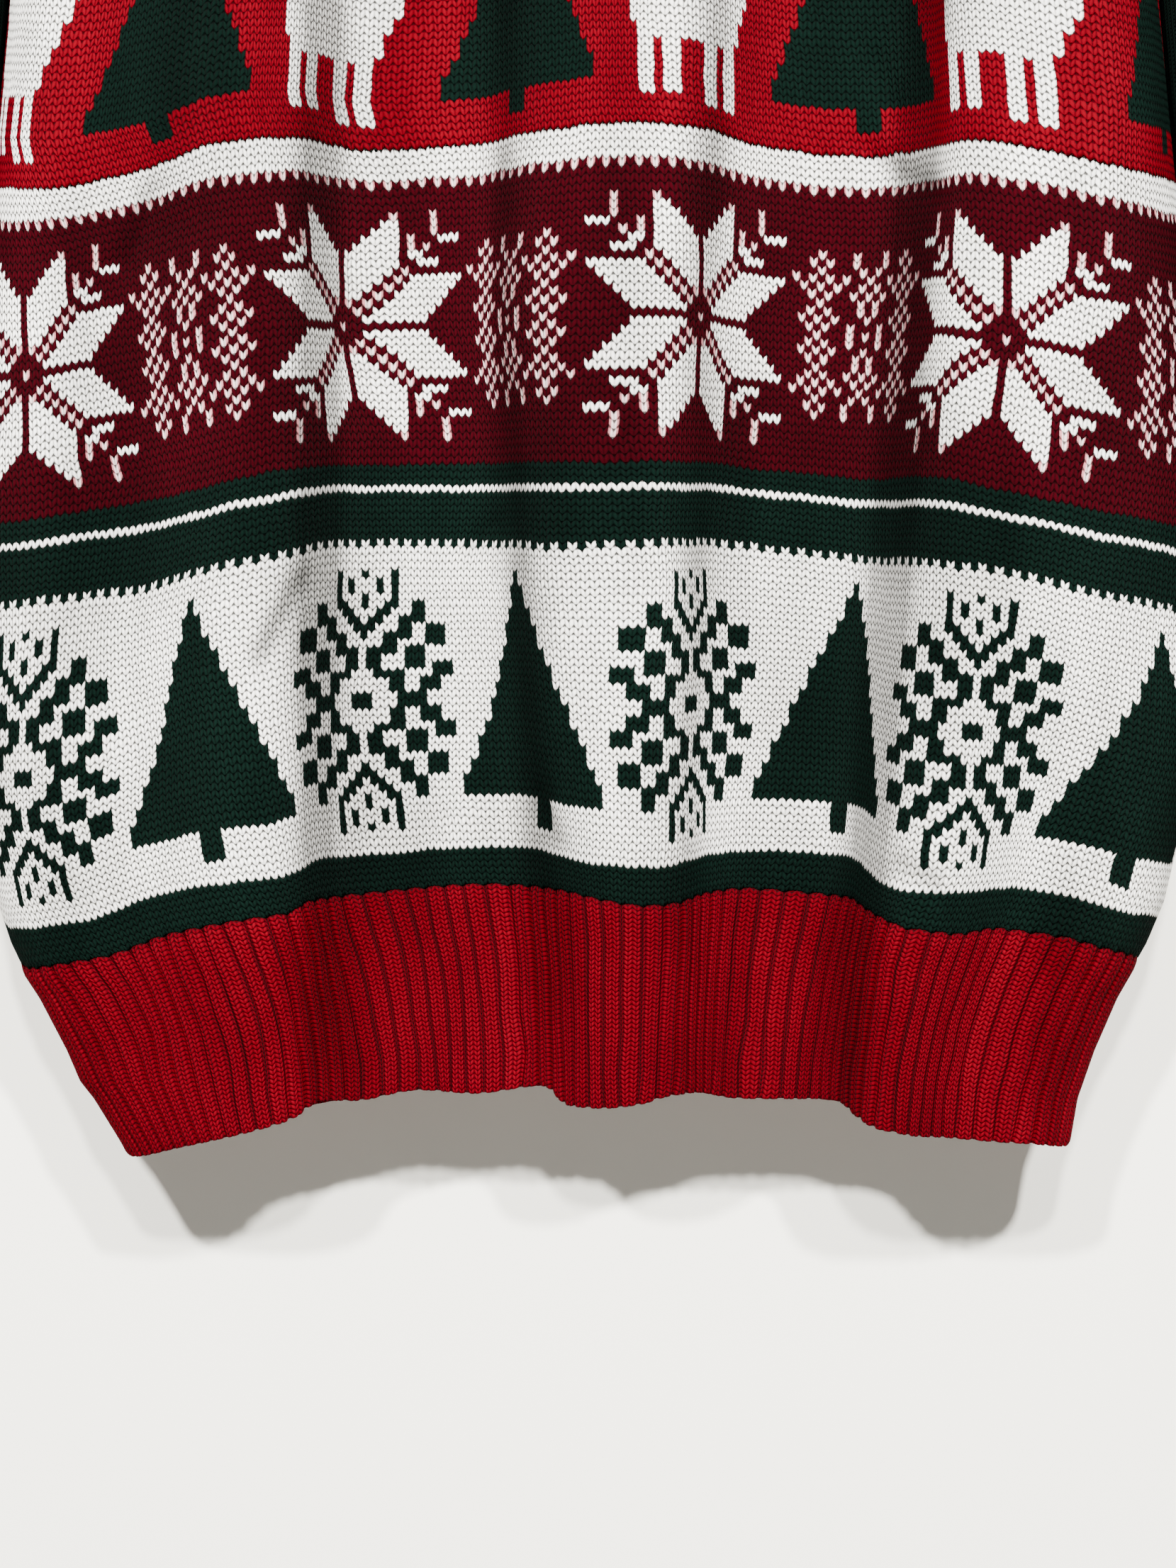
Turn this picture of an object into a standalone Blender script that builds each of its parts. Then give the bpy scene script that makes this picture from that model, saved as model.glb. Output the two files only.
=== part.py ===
"""A knitted Christmas pullover hanging on a plain clothes hanger.

Every piece of cloth is one closed wall: an outer skin worked out from the garment's sizes, an inner
skin one cloth thickness further in, and a strip round each open edge.  The body is a tube whose
horizontal sections are rounded rectangles with soft upright troughs pressed into them.

Axes: +X to the right as seen from the front, +Y to the back, +Z up.  The origin is the point under
the crown of the hanger's hook, where a rod carries it.  Sizes in the tables are millimetres.
"""

import math

import bmesh
import bpy
import numpy as np

MM = 0.001

# ---------------------------------------------------------------- driving sizes (mm)
CLOTH = 2.2                 # thickness of the knitted wall
SEAM = 0.4                  # gap between two pieces at a seam
LENGTH = 680.0              # neck point to bottom of hem
RIB_HEIGHT = 71.0           # ribbed hem
ARMHOLE_HEIGHT = 230.0      # underarm to shoulder point, measured upright
ARMHOLE_HALF_DEPTH = 30.0   # how far the armhole opens to the front and to the back
SHOULDER_HALF = 228.0       # centre to shoulder point
NECK_SHARE = 0.4            # part of the shoulder's half width that the neck takes
FRONT_NECK_DROP = 84.0
BACK_NECK_DROP = 24.0
NECKBAND_HEIGHT = 25.0
NECKBAND_LEAN = (0.18, 0.1) # how far its top edge lies in towards the middle, along X and along Y
RIBS_PER_PANEL = 62         # ribs across the front of the hem, and as many across the back
RIBS_PER_CUFF = 26
NECKBAND_RIB = 6.6          # width of one rib of the neckband
RIB_RISE = 1.0              # how far a rib stands out of the wall
GULLY_DROP = 0.5            # how far the groove between two ribs lies in it
SHOULDER_ROUNDING = 30.0    # height over which the cloth turns over the hanger
EDGE_POWER = 7.0            # squareness of the body's section
EDGE_FADE_POWER = 8         # folds die out towards the side seams
ARMHOLE_FADE_POWER = 12     # the armhole's opening dies out towards the middle
DROP_POWER = 1.8            # how the sides' hang grows from the middle outwards
NECK_CURVE_POWER = 0.7      # roundness of the neck edge
LEAST_DEPTH = 0.5           # mm that a section is deeper than the armhole in it

# hanger
WIRE_RADIUS = 2.0
HOOK_RADIUS = 22.0          # middle line of the hook's bow
BAR_TOP = -68.0             # top of the bar at its middle
BAR_SLOPE = 0.305           # fall of the bar for each mm outwards
BAR_HALF_LENGTH = 205.0
BAR_HALF_THICK = 6.0
BAR_REST = 0.35             # gap between the bar and the cloth that lies on it

# ---------------------------------------------------------------- worked out from them
NECK_HALF = NECK_SHARE * SHOULDER_HALF
Z_NECK = BAR_TOP - BAR_SLOPE * NECK_HALF + BAR_REST + CLOTH
Z_SHOULDER = BAR_TOP - BAR_SLOPE * SHOULDER_HALF + BAR_REST + CLOTH
Z_UNDERARM = Z_SHOULDER - ARMHOLE_HEIGHT
Z_HEM = Z_NECK - LENGTH
FRONT = -1
BACK = 1

# Body sizes by height above the hem.  Columns: height, half width, depth from the middle plane.
BODY_SIZES = np.array([
    (0, 166, 44), (17, 169, 45), (34, 175, 46), (52, 183, 48), (71, 194, 51),
    (85, 200, 54), (110, 206, 57), (150, 211, 59), (227, 213, 59), (290, 209, 57),
    (332, 203.5, 55), (389, 198, 52), (410, 197, 50), (520, 197, 38), (600, 197, 29), (680, 197, 22),
])

# How far the sides of a knitted row hang below its middle.  Columns: height, drop.
SIDE_DROP = np.array([(0, 20), (72, 19), (210, 15), (330, 7), (400, 2), (430, 0)])

# How strong the upright folds are.  Columns: height, share of their full depth.
FOLD_SHARE = np.array([
    (0, 0.72), (72, 0.88), (150, 1.0), (390, 0.94), (450, 0.74), (520, 0.5), (600, 0.2), (660, 0),
])

# Flanks of the upright folds.  Columns: height, then the flank's x at that height.
FLANK_HEIGHTS = (0, 110, 250, 400)
FRONT_FLANKS = {
    # name: (x at each height above, half width of the slope)
    "a": ((-97, -96, -95, -94), 10.5),
    "b": ((-17, -22, -31, -33), 10.0),
    "c": ((34, 31, 36, 43), 11.0),
    "d": ((88, 95, 105, 115), 10.0),
    "e": ((-172, -171, -170, -170), 13.0),
    "f": ((-142, -141, -139, -138), 14.0),
}
BACK_FLANKS = {
    "g": ((-150, -152, -155, -158), 12.0),
    "h": ((-104, -106, -110, -112), 12.0),
    "i": ((-52, -50, -46, -44), 11.0),
    "j": ((6, 4, -2, -4), 12.0),
    "k": ((58, 60, 62, 66), 11.0),
    "l": ((112, 115, 118, 120), 12.0),
}
# Troughs between two flanks.  Columns: left flank, right flank, depth.
FRONT_TROUGHS = (("a", "b", 40), ("b", "c", 9), ("c", "d", 40), ("e", "f", 17))
BACK_TROUGHS = (("g", "h", 30), ("h", "i", 5), ("i", "j", 34), ("j", "k", 8), ("k", "l", 32))

# Sleeve rings below the armhole.  Columns: top x, top z, bottom x, bottom z, half depth, middle y.
SLEEVE_RINGS = (
    (249, -149, 199, -371, 34, 1),
    (267, -172, 201.5, -378, 39, 3),
    (280, -207, 203, -388, 43, 5),
    (289, -256, 204.5, -402, 46, 7),
    (294, -318, 206.5, -426, 48, 9),
    (296, -390, 210.5, -462, 48, 10),
    (296, -468, 215.5, -508, 46, 11),
    (294, -545, 220, -562, 43, 11),
    (290, -606, 226, -611, 38, 11),
    (285, -636, 232, -636, 32, 11),
)
# Cuff rings.  Columns: z, half width, half depth.
CUFF_RINGS = ((-636 - SEAM, 26.5, 32), (-650, 25, 30), (-674, 24, 28.5), (-698, 24.5, 29))
CUFF_X = 258.5
CUFF_Y = 11.0

# Rows of the body panels: heights above the hem up to the underarm.  Above it the rows are shares
# of the way to the panel's top edge, spaced like the points round half of the armhole.
LOWER_ROWS = (RIB_HEIGHT + SEAM, 85, 110, 150, 230, 310, 375)
ARMHOLE_STEPS = 9
UPPER_ROWS = 0.5 - 0.5 * np.cos(np.linspace(0, math.pi, ARMHOLE_STEPS + 1))
RIB_ROWS = (0.0, 4.0, 36.0, RIB_HEIGHT)
FRONT_COLUMNS = 60
BACK_COLUMNS = 40

RED = (0.52, 0.008, 0.02, 1)
GREEN = (0.012, 0.045, 0.03, 1)
MAROON = (0.1, 0.006, 0.014, 1)
WOOD = (0.45, 0.28, 0.15, 1)
STEEL = (0.6, 0.6, 0.62, 1)


# ---------------------------------------------------------------- form of the body

def by_height(table, height, column=1):
    """Read a column of a size table at a height above the hem."""
    return np.interp(height, table[:, 0], table[:, column])


def shoulder_line(x):
    """Height of the shoulder seam, which lies on the hanger's bar."""
    return Z_NECK - BAR_SLOPE * (np.abs(x) - NECK_HALF)


def neck_line(x, side):
    """Height of the neck edge of a panel, inside the neck points."""
    drop = FRONT_NECK_DROP if side == FRONT else BACK_NECK_DROP
    share = np.clip(1 - (x / NECK_HALF) ** 2, 0, 1)
    return Z_NECK - drop * share ** NECK_CURVE_POWER


def armhole_edge(z):
    """Half width and half depth of the armhole's edge at a height; depth 0 below the underarm."""
    share = (z - Z_UNDERARM) / ARMHOLE_HEIGHT
    if share <= 0:
        return by_height(BODY_SIZES, z - Z_HEM), 0.0
    share = min(share, 1.0)
    start = by_height(BODY_SIZES, Z_UNDERARM - Z_HEM)
    half_width = start + (SHOULDER_HALF - start) * share
    return half_width, ARMHOLE_HALF_DEPTH * math.sqrt(1 - (2 * share - 1) ** 2)


def fold_depth(x, height, side):
    """How far the troughs press the cloth in at x."""
    flanks = FRONT_FLANKS if side == FRONT else BACK_FLANKS
    troughs = FRONT_TROUGHS if side == FRONT else BACK_TROUGHS
    step = {}
    for name, (places, slope) in flanks.items():
        middle = np.interp(height, FLANK_HEIGHTS, places)
        step[name] = 0.5 * (1 + np.tanh((x - middle) / slope))
    total = np.zeros_like(x)
    for left, right, depth in troughs:
        total += depth * (step[left] - step[right])
    return total * by_height(FOLD_SHARE, height)


def over_bar(x, z):
    """Share of the full depth where the cloth turns over the hanger's bar, 0 on the shoulder line."""
    turn = np.clip((shoulder_line(x) - z) / SHOULDER_ROUNDING, 0.0, 1.0)
    return np.sqrt(1 - (1 - turn) ** 2)


def section(z, side, points=721):
    """Closely spaced x and y of one panel at a height, from its left edge to its right edge."""
    height = z - Z_HEM
    edge_x, edge_y = armhole_edge(z)
    depth = by_height(BODY_SIZES, height, 2)
    way = np.linspace(-1, 1, points)
    across = np.sign(way) * (1 - (1 - np.abs(way)) ** 2)
    edge_depth = max(depth * over_bar(edge_x, z), edge_y + LEAST_DEPTH)
    edge_share = (1 - (edge_y / edge_depth) ** 2) ** (1 / EDGE_POWER)
    across = across * edge_share
    x = across * edge_x / edge_share
    roundness = over_bar(x, z)
    base = depth * roundness * np.sqrt(np.clip(1 - np.abs(across) ** EDGE_POWER, 0, 1))
    base = np.maximum(base, edge_y * np.abs(x / edge_x) ** ARMHOLE_FADE_POWER)
    inside = 1 - np.abs(x / edge_x) ** EDGE_FADE_POWER
    y = base - fold_depth(x, height, side) * inside * roundness
    return x, side * np.maximum(y, SEAM / 2)


def even_shares(x, y, shares):
    """Points at the given shares of a section's length."""
    run = np.concatenate(([0], np.cumsum(np.hypot(np.diff(x), np.diff(y)))))
    at = np.asarray(shares) * run[-1]
    return np.interp(at, run, x), np.interp(at, run, y)


def body_row(z, side, shares):
    """One row of points across a panel, its sides hanging a little below its middle."""
    x, y = even_shares(*section(z, side), shares)
    half = armhole_edge(z)[0]
    fall = by_height(SIDE_DROP, z - Z_HEM) * np.abs(x / half) ** DROP_POWER
    return np.stack((x, y, np.full_like(x, z) - fall), axis=-1)


def panel_top(share, side):
    """Height of a panel's top edge at a share -1..1 of its width: neck, or shoulder outside it."""
    x = share * SHOULDER_HALF
    return neck_line(x, side) if abs(share) < NECK_SHARE - 1e-6 else shoulder_line(x)


def panel_shares(columns):
    """Shares of a panel's width that its columns stand at, with two more beside each neck point."""
    beside_neck = 0.5 * NECK_SHARE * np.array((0.9, 0.97))
    return np.sort(np.concatenate((np.linspace(0, 1, columns + 1), 0.5 + beside_neck, 0.5 - beside_neck)))


def panel_grid(side, columns):
    """Outer points of the front or back panel, rows from the hem's rib up to neck and shoulders."""
    shares = panel_shares(columns)
    rows = [body_row(Z_HEM + height, side, shares) for height in LOWER_ROWS]
    for part in UPPER_ROWS:
        row = np.zeros((len(shares), 3))
        for i, share in enumerate(shares):
            top = panel_top(2 * share - 1, side)
            z = Z_UNDERARM + (top - Z_UNDERARM) * part
            row[i] = body_row(z, side, [share])[0]
            wanted = (2 * share - 1) * armhole_edge(z)[0]
            row[i, 0] += (wanted - row[i, 0]) * part
            row[i, 1] = side * abs(surface_y(row[i, 0], z, side))
            row[i, 2] = z - by_height(SIDE_DROP, z - Z_HEM) * abs(2 * share - 1) ** DROP_POWER
        rows.append(row)
    return np.array(rows)


def surface_y(x, z, side):
    """Depth of a panel's outer skin at a place."""
    line_x, line_y = section(z, side)
    return np.interp(x, line_x, line_y)


# ---------------------------------------------------------------- solids from grids of points

def skin_normals(grid, closed=False):
    """Unit normals of a grid of points (rows, columns, 3)."""
    up = np.gradient(grid, axis=0)
    if closed:
        along = (np.roll(grid, -1, axis=1) - np.roll(grid, 1, axis=1)) / 2
    else:
        along = np.gradient(grid, axis=1)
    normal = np.cross(along, up)
    return normal / np.linalg.norm(normal, axis=-1, keepdims=True)


def solid_object(name, points, faces, colour, roughness=0.9, metallic=0.0):
    """A closed mesh object with its own material; points in millimetres."""
    mesh = bpy.data.meshes.new(name)
    shape = bmesh.new()
    verts = [shape.verts.new([c * MM for c in p]) for p in points]
    for face in faces:
        shape.faces.new([verts[i] for i in face])
    bmesh.ops.recalc_face_normals(shape, faces=shape.faces)
    bmesh.ops.triangulate(shape, faces=shape.faces)
    shape.to_mesh(mesh)
    shape.free()
    mesh.shade_smooth()
    mesh.set_sharp_from_angle(angle=math.radians(50))
    obj = bpy.data.objects.new(name, mesh)
    bpy.context.collection.objects.link(obj)
    material = bpy.data.materials.new(name)
    material.use_nodes = True
    shader = material.node_tree.nodes["Principled BSDF"]
    shader.inputs["Base Color"].default_value = colour
    shader.inputs["Roughness"].default_value = roughness
    shader.inputs["Metallic"].default_value = metallic
    mesh.materials.append(material)
    return obj


def skin_faces(first, rows, columns, closed=False):
    """Quads of a grid whose points start at index first; a closed grid joins its last column."""
    faces = []
    spans = columns if closed else columns - 1
    for r in range(rows - 1):
        for c in range(spans):
            d = (c + 1) % columns
            a = first + r * columns
            b = a + columns
            faces.append((a + c, a + d, b + d, b + c))
    return faces


def edge_faces(outer_line, inner_line, closed=False):
    """Faces between an outer edge and an inner edge that may have fewer points."""
    spans = len(inner_line) if closed else len(inner_line) - 1
    ratio = len(outer_line) // spans
    faces = []
    for i in range(spans):
        here = inner_line[i]
        there = inner_line[(i + 1) % len(inner_line)]
        swap = i * ratio + ratio // 2 + ratio % 2
        for k in range(i * ratio, (i + 1) * ratio):
            a = outer_line[k]
            b = outer_line[(k + 1) % len(outer_line)]
            if k == swap:
                faces.append((a, there, here))
            faces.append((a, b, there if k >= swap else here))
        if swap == (i + 1) * ratio:
            faces.append((b, there, here))
    return faces


def wall_object(name, outer, inner, colour, closed=False):
    """A cloth wall from an outer and an inner grid; the inner grid may have fewer columns."""
    rows, wide = outer.shape[:2]
    narrow = inner.shape[1]
    points = np.concatenate((outer.reshape(-1, 3), inner.reshape(-1, 3)))
    start = rows * wide
    faces = skin_faces(0, rows, wide, closed) + skin_faces(start, rows, narrow, closed)
    for r in (0, rows - 1):
        outer_line = [r * wide + c for c in range(wide)]
        inner_line = [start + r * narrow + c for c in range(narrow)]
        faces += edge_faces(outer_line, inner_line, closed)
    if not closed:
        for out_c, in_c in ((0, 0), (wide - 1, narrow - 1)):
            for r in range(rows - 1):
                a = r * wide + out_c
                b = start + r * narrow + in_c
                faces.append((a, a + wide, b + narrow, b))
    return solid_object(name, points, faces, colour)


def inward(grid, side, thickness, level_rows=(), shoulder_columns=()):
    """A skin that lies inside the given one.  Seam edges keep their plane, so two pieces never meet.

    level_rows are sewn to a piece above or below; shoulder_columns end in the shoulder seam.
    """
    normal = skin_normals(grid) * -side
    towards = np.where((normal[..., 1:2] * side) > 0, -normal, normal)
    towards[:, (0, -1), 1] = 0
    for r in level_rows:
        towards[r, :, 2] = 0
    for c in shoulder_columns:
        towards[-1, c, 1] = 0
    towards /= np.linalg.norm(towards, axis=-1, keepdims=True)
    return grid + towards * thickness


# ---------------------------------------------------------------- pieces

def armhole_inset(side):
    """Steps from the armhole's edge into the cloth's thickness, from the underarm to the shoulder."""
    start = by_height(BODY_SIZES, Z_UNDERARM - Z_HEM)
    long_axis = np.array((SHOULDER_HALF - start, 0, ARMHOLE_HEIGHT))
    half_length = np.linalg.norm(long_axis) / 2
    long_axis = long_axis / np.linalg.norm(long_axis)
    steps = []
    for angle in np.linspace(0, math.pi, ARMHOLE_STEPS + 1):
        step = long_axis * math.cos(angle) / half_length
        step[1] -= side * math.sin(angle) / ARMHOLE_HALF_DEPTH
        steps.append(step / np.linalg.norm(step) * CLOTH)
    return np.array(steps)


def panel_skins(side, columns):
    """Outer and inner points of the front or back panel, and the columns of its neck edge."""
    outer = panel_grid(side, columns)
    width_share = np.abs(2 * panel_shares(columns) - 1)
    on_shoulder = [c for c, share in enumerate(width_share) if share >= NECK_SHARE - 1e-6]
    on_neck = [c for c, share in enumerate(width_share) if share <= NECK_SHARE + 1e-6]
    inner = inward(outer, side, CLOTH, (0,), on_shoulder)
    inset = armhole_inset(side)
    first = len(LOWER_ROWS)
    for column, mirror in ((0, -1), (-1, 1)):
        inner[first:, column] = outer[first:, column] + inset * (mirror, 1, 1)
        inner[first, column, 0] -= mirror * CLOTH
    return outer, inner, on_neck


def rib_relief(count, per_rib):
    """Rise of each column of points: ribs stand out, the last point of each rib lies in the groove."""
    rise = np.full(count * per_rib, RIB_RISE)
    rise[per_rib - 1::per_rib] = -GULLY_DROP
    return rise


def make_hem(name, side):
    """Ribbed hem of the front or back, plain on its inside."""
    per_rib = 3
    shares = np.linspace(0, 1, RIBS_PER_PANEL * per_rib + 1)
    plain = np.array([body_row(Z_HEM + h, side, shares) for h in RIB_ROWS])
    coarse = inward(plain, side, CLOTH, (-1,))[:, ::per_rib]
    rise = np.append(rib_relief(RIBS_PER_PANEL, per_rib), 0.0)
    rise[0] = 0.0
    outwards = plain - inward(plain, side, 1.0, (-1,))
    outer = plain + outwards * rise[None, :, None]
    return wall_object(name, outer, coarse, RED)


def ring_points(ring, mirror):
    """Points round one sleeve ring, from its bottom up the front and down the back."""
    top_x, top_z, low_x, low_z, half_depth, mid_y = ring
    angle = np.linspace(0, 2 * math.pi, 2 * ARMHOLE_STEPS, endpoint=False)
    up = 0.5 - 0.5 * np.cos(angle)
    x = low_x + (top_x - low_x) * up
    z = low_z + (top_z - low_z) * up
    y = mid_y - half_depth * np.sin(angle)
    return np.stack((mirror * x, y, z), axis=-1)


def armhole_ring(front, back, mirror):
    """The armhole's edge as a ring: up the front panel's edge, then down the back panel's."""
    column = -1 if mirror > 0 else 0
    first = len(LOWER_ROWS)
    front_edge = front[first:, column]
    back_edge = back[first:, column]
    ring = np.concatenate((front_edge, back_edge[-2:0:-1]))
    ring[0, 1] = 0
    ring[ARMHOLE_STEPS, 1] = 0
    return ring


def tube_inner(outer, thickness, mirror):
    """Inner skin of a closed tube of rings."""
    normal = skin_normals(outer, closed=True) * mirror
    middle = outer.mean(axis=1, keepdims=True)
    away = np.sign(np.sum(normal * (outer - middle), axis=-1, keepdims=True))
    return outer - normal * away * thickness


def make_sleeve(name, mirror, front, back):
    """A sleeve that hangs straight down beside the body, from the armhole to the cuff."""
    edge = armhole_ring(front[0], back[0], mirror) + (mirror * SEAM, 0, 0)
    outer = np.array([edge] + [ring_points(r, mirror) for r in SLEEVE_RINGS])
    inner = tube_inner(outer, CLOTH, mirror)
    front_inset = armhole_inset(FRONT) * (mirror, 1, 1)
    back_inset = armhole_inset(BACK) * (mirror, 1, 1)
    inner[0] = edge + np.concatenate((front_inset, back_inset[-2:0:-1]))
    inner[-1, :, 2] = outer[-1, :, 2]
    return wall_object(name, outer, inner, GREEN, closed=True)


def make_cuff(name, mirror):
    """A ribbed cuff, plain on its inside."""
    per_rib = 2
    count = RIBS_PER_CUFF * per_rib
    rise = rib_relief(RIBS_PER_CUFF, per_rib)
    angle = np.linspace(0, 2 * math.pi, count, endpoint=False)
    outer = []
    inner = []
    for z, half_width, half_depth in CUFF_RINGS:
        for grid, grow, keep in ((outer, rise, 1), (inner, -CLOTH, per_rib)):
            x = mirror * CUFF_X + (half_width + grow) * np.cos(angle)
            y = CUFF_Y + (half_depth + grow) * np.sin(angle)
            grid.append(np.stack((x, y, np.full_like(x, z)), axis=-1)[::keep])
    return wall_object(name, np.array(outer), np.array(inner), RED, closed=True)


def neck_edge(front, back, layer):
    """The neck edge as a loop of points: along the front panel's edge, then back along the back's."""
    front_row = front[layer][-1, front[2]]
    back_row = back[layer][-1, back[2]]
    loop = np.concatenate((front_row, back_row[-2:0:-1]))
    for corner in (0, len(front_row) - 1):
        loop[corner, 1] = 0
    return loop


def make_neckband(name, front, back):
    """A ribbed crew neckband that stands on the neck edge and leans in over the hanger."""
    edge = neck_edge(front, back, 0)
    inner_edge = neck_edge(front, back, 1)
    spans = np.linalg.norm(np.roll(edge, -1, axis=0) - edge, axis=1)
    to_side = np.abs(edge[:, 0] / NECK_HALF) ** 6
    rise = NECKBAND_HEIGHT * (1 - 0.5 * to_side)
    climb = np.stack((-NECKBAND_LEAN[0] * edge[:, 0], -NECKBAND_LEAN[1] * edge[:, 1], rise), axis=-1)
    lines = []
    for line in (edge, inner_edge, climb):
        fine = []
        for here, there, length in zip(line, np.roll(line, -1, axis=0), spans):
            parts = 2 * max(1, round(length / NECKBAND_RIB))
            fine += [here + (there - here) * k / parts for k in range(parts)]
        lines.append(np.array(fine))
    outer_line, inner_line, climb = lines
    out = outer_line - inner_line
    out /= np.linalg.norm(out, axis=-1, keepdims=True)
    out = np.where(out[:, 2:] < 0, out * (1, 1, 0), out)
    ribs = rib_relief(len(outer_line) // 2, 2)[:, None]
    seam_share = SEAM * (1.4 + 1.6 * np.abs(outer_line[:, :1] / NECK_HALF) ** 4) / NECKBAND_HEIGHT
    rows = ((seam_share, 0.0), (0.5, 1.0), (1.0, 1.0))
    outer = np.array([outer_line + climb * up + out * ribs * relief for up, relief in rows])
    inner = np.array([(inner_line + climb * up)[::2] for up, relief in rows])
    return wall_object(name, outer, inner, RED, closed=True)


def bar_section(x):
    """Points round the hanger's bar at x: a tall oval under the bar's sloping top."""
    share = abs(x) / BAR_HALF_LENGTH
    half_height = 13.0 - 6.0 * share
    half_thick = BAR_HALF_THICK - 1.6 * share
    top = BAR_TOP - BAR_SLOPE * abs(x)
    if share > 0.99:
        half_height *= 0.5
        half_thick *= 0.5
        top -= 3.5
    angle = np.linspace(0, 2 * math.pi, 12, endpoint=False)
    y = half_thick * np.sin(angle)
    z = top - half_height + half_height * np.cos(angle)
    return np.stack((np.full_like(y, x), y, z), axis=-1)


def capped_tube(name, rings, colour, roughness, metallic=0.0):
    """A solid bar from rings of points, its ends closed."""
    rings = np.array(rings)
    rows, count = rings.shape[:2]
    faces = skin_faces(0, rows, count, closed=True)
    faces.append(tuple(range(count)))
    faces.append(tuple((rows - 1) * count + i for i in reversed(range(count))))
    return solid_object(name, rings.reshape(-1, 3), faces, colour, roughness, metallic)


def make_hanger_bar():
    """The shaped bar inside the shoulders."""
    shares = (-1, -0.965, -0.73, -0.49, -0.24, 0, 0.24, 0.49, 0.73, 0.965, 1)
    return capped_tube("hanger_bar", [bar_section(BAR_HALF_LENGTH * s) for s in shares], WOOD, 0.45)


def make_hanger_hook():
    """Round wire: a short stem on the bar's middle, then a bow round the rod's place."""
    bow_middle = WIRE_RADIUS - HOOK_RADIUS
    path = [(0, BAR_TOP + SEAM), (0, BAR_TOP + 8), (0, bow_middle - HOOK_RADIUS - 5)]
    for degrees in range(-66, 222, 12):
        a = math.radians(degrees)
        path.append((HOOK_RADIUS * math.cos(a), bow_middle + HOOK_RADIUS * math.sin(a)))
    path = np.array(path)
    along = np.gradient(path, axis=0)
    along /= np.linalg.norm(along, axis=1, keepdims=True)
    rings = []
    for (x, z), (dx, dz) in zip(path, along):
        ring = []
        for k in range(8):
            a = 2 * math.pi * k / 8
            sideways = WIRE_RADIUS * math.cos(a)
            ring.append((x - dz * sideways, WIRE_RADIUS * math.sin(a), z + dx * sideways))
        rings.append(ring)
    return capped_tube("hanger_hook", rings, STEEL, 0.3, 1.0)


def main():
    for obj in list(bpy.data.objects):
        bpy.data.objects.remove(obj, do_unlink=True)
    front = panel_skins(FRONT, FRONT_COLUMNS)
    back = panel_skins(BACK, BACK_COLUMNS)
    wall_object("front_panel", front[0], front[1], MAROON)
    wall_object("back_panel", back[0], back[1], MAROON)
    make_hem("hem_rib_front", FRONT)
    make_hem("hem_rib_back", BACK)
    for word, mirror in (("left", -1), ("right", 1)):
        make_sleeve("sleeve_" + word, mirror, front, back)
        make_cuff("cuff_" + word, mirror)
    make_neckband("neckband", front, back)
    make_hanger_bar()
    make_hanger_hook()


main()
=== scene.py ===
# %% [markdown]
# # A knitted Christmas pullover on a hanger
#
# The pullover is machine knitted in a pattern of bands: trees and medallions on white, stars and
# small lattices on maroon, trees and reindeer on red.  It hangs from its shoulders, so soft upright
# folds run down it, and the narrower ribbed hem gathers them in.
#
# The plan is to build each panel of cloth as a grid whose faces are the real stitches.  A stitch is
# a V of two slanting legs, so a stitch gets four faces that slant with the legs, and one colour.
# The pattern is then a chart of rows and columns, as a knitter would read it.

import math

import bmesh
import bpy
import numpy as np
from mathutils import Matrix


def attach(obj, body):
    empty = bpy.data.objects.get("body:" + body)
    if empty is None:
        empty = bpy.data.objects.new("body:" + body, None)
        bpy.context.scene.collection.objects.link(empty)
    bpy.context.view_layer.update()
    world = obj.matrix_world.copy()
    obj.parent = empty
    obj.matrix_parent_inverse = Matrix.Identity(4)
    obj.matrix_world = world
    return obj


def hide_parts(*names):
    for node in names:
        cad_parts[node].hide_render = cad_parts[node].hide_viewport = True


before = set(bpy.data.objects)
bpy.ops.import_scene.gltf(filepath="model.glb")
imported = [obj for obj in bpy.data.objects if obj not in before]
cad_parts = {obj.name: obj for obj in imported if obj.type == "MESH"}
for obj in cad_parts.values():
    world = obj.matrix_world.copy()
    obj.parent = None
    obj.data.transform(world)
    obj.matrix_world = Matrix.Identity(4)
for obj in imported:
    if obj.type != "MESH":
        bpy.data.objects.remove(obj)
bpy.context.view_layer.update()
print("solid nodes:", sorted(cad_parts))

# %% [markdown]
# ## The form of the garment
#
# The solid model and this scene use one set of sizes, so that the knitted surface lies on the solid
# wall.  A horizontal section of the body is a rounded rectangle.  Folds are troughs pressed into
# it, each between two flanks, and a flank is a smooth step whose place changes a little with
# height.  Small slanting creases are pressed in on top of the folds.

# %% Sizes in millimetres
MM = 0.001
CLOTH = 2.2  # thickness of the knitting
SEAM = 0.4  # gap that a seam leaves between two pieces
STITCH = 2.6  # width of a column of stitches
ROW = 2.7  # height of a row
BODY_LENGTH = 680.0
RIB_HEIGHT = 71.0
ARMHOLE_HEIGHT = 230.0
ARMHOLE_HALF_DEPTH = 30.0
SHOULDER_HALF = 228.0  # half the width over the shoulders
NECK_SHARE = 0.4  # share of that width that the neck takes
FRONT_NECK_DROP = 84.0
BACK_NECK_DROP = 24.0
NECKBAND_HEIGHT = 25.0
SHOULDER_ROUNDING = 30.0  # height over which the cloth turns over the hanger
NEAR_SEAM = 4.0  # depth below which the front and the back nearly touch
BAR_TOP = -68.0  # height of the hanger's bar in the middle
BAR_SLOPE = 0.305  # its fall to the sides
BAR_GAP = 0.35  # between the bar and the cloth
EDGE_POWER = 7.0  # higher: a squarer section of the body
EDGE_FADE_POWER = 8  # higher: the folds come nearer to the sides
ARMHOLE_FADE_POWER = 12  # higher: a narrower rim round the armhole
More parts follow.
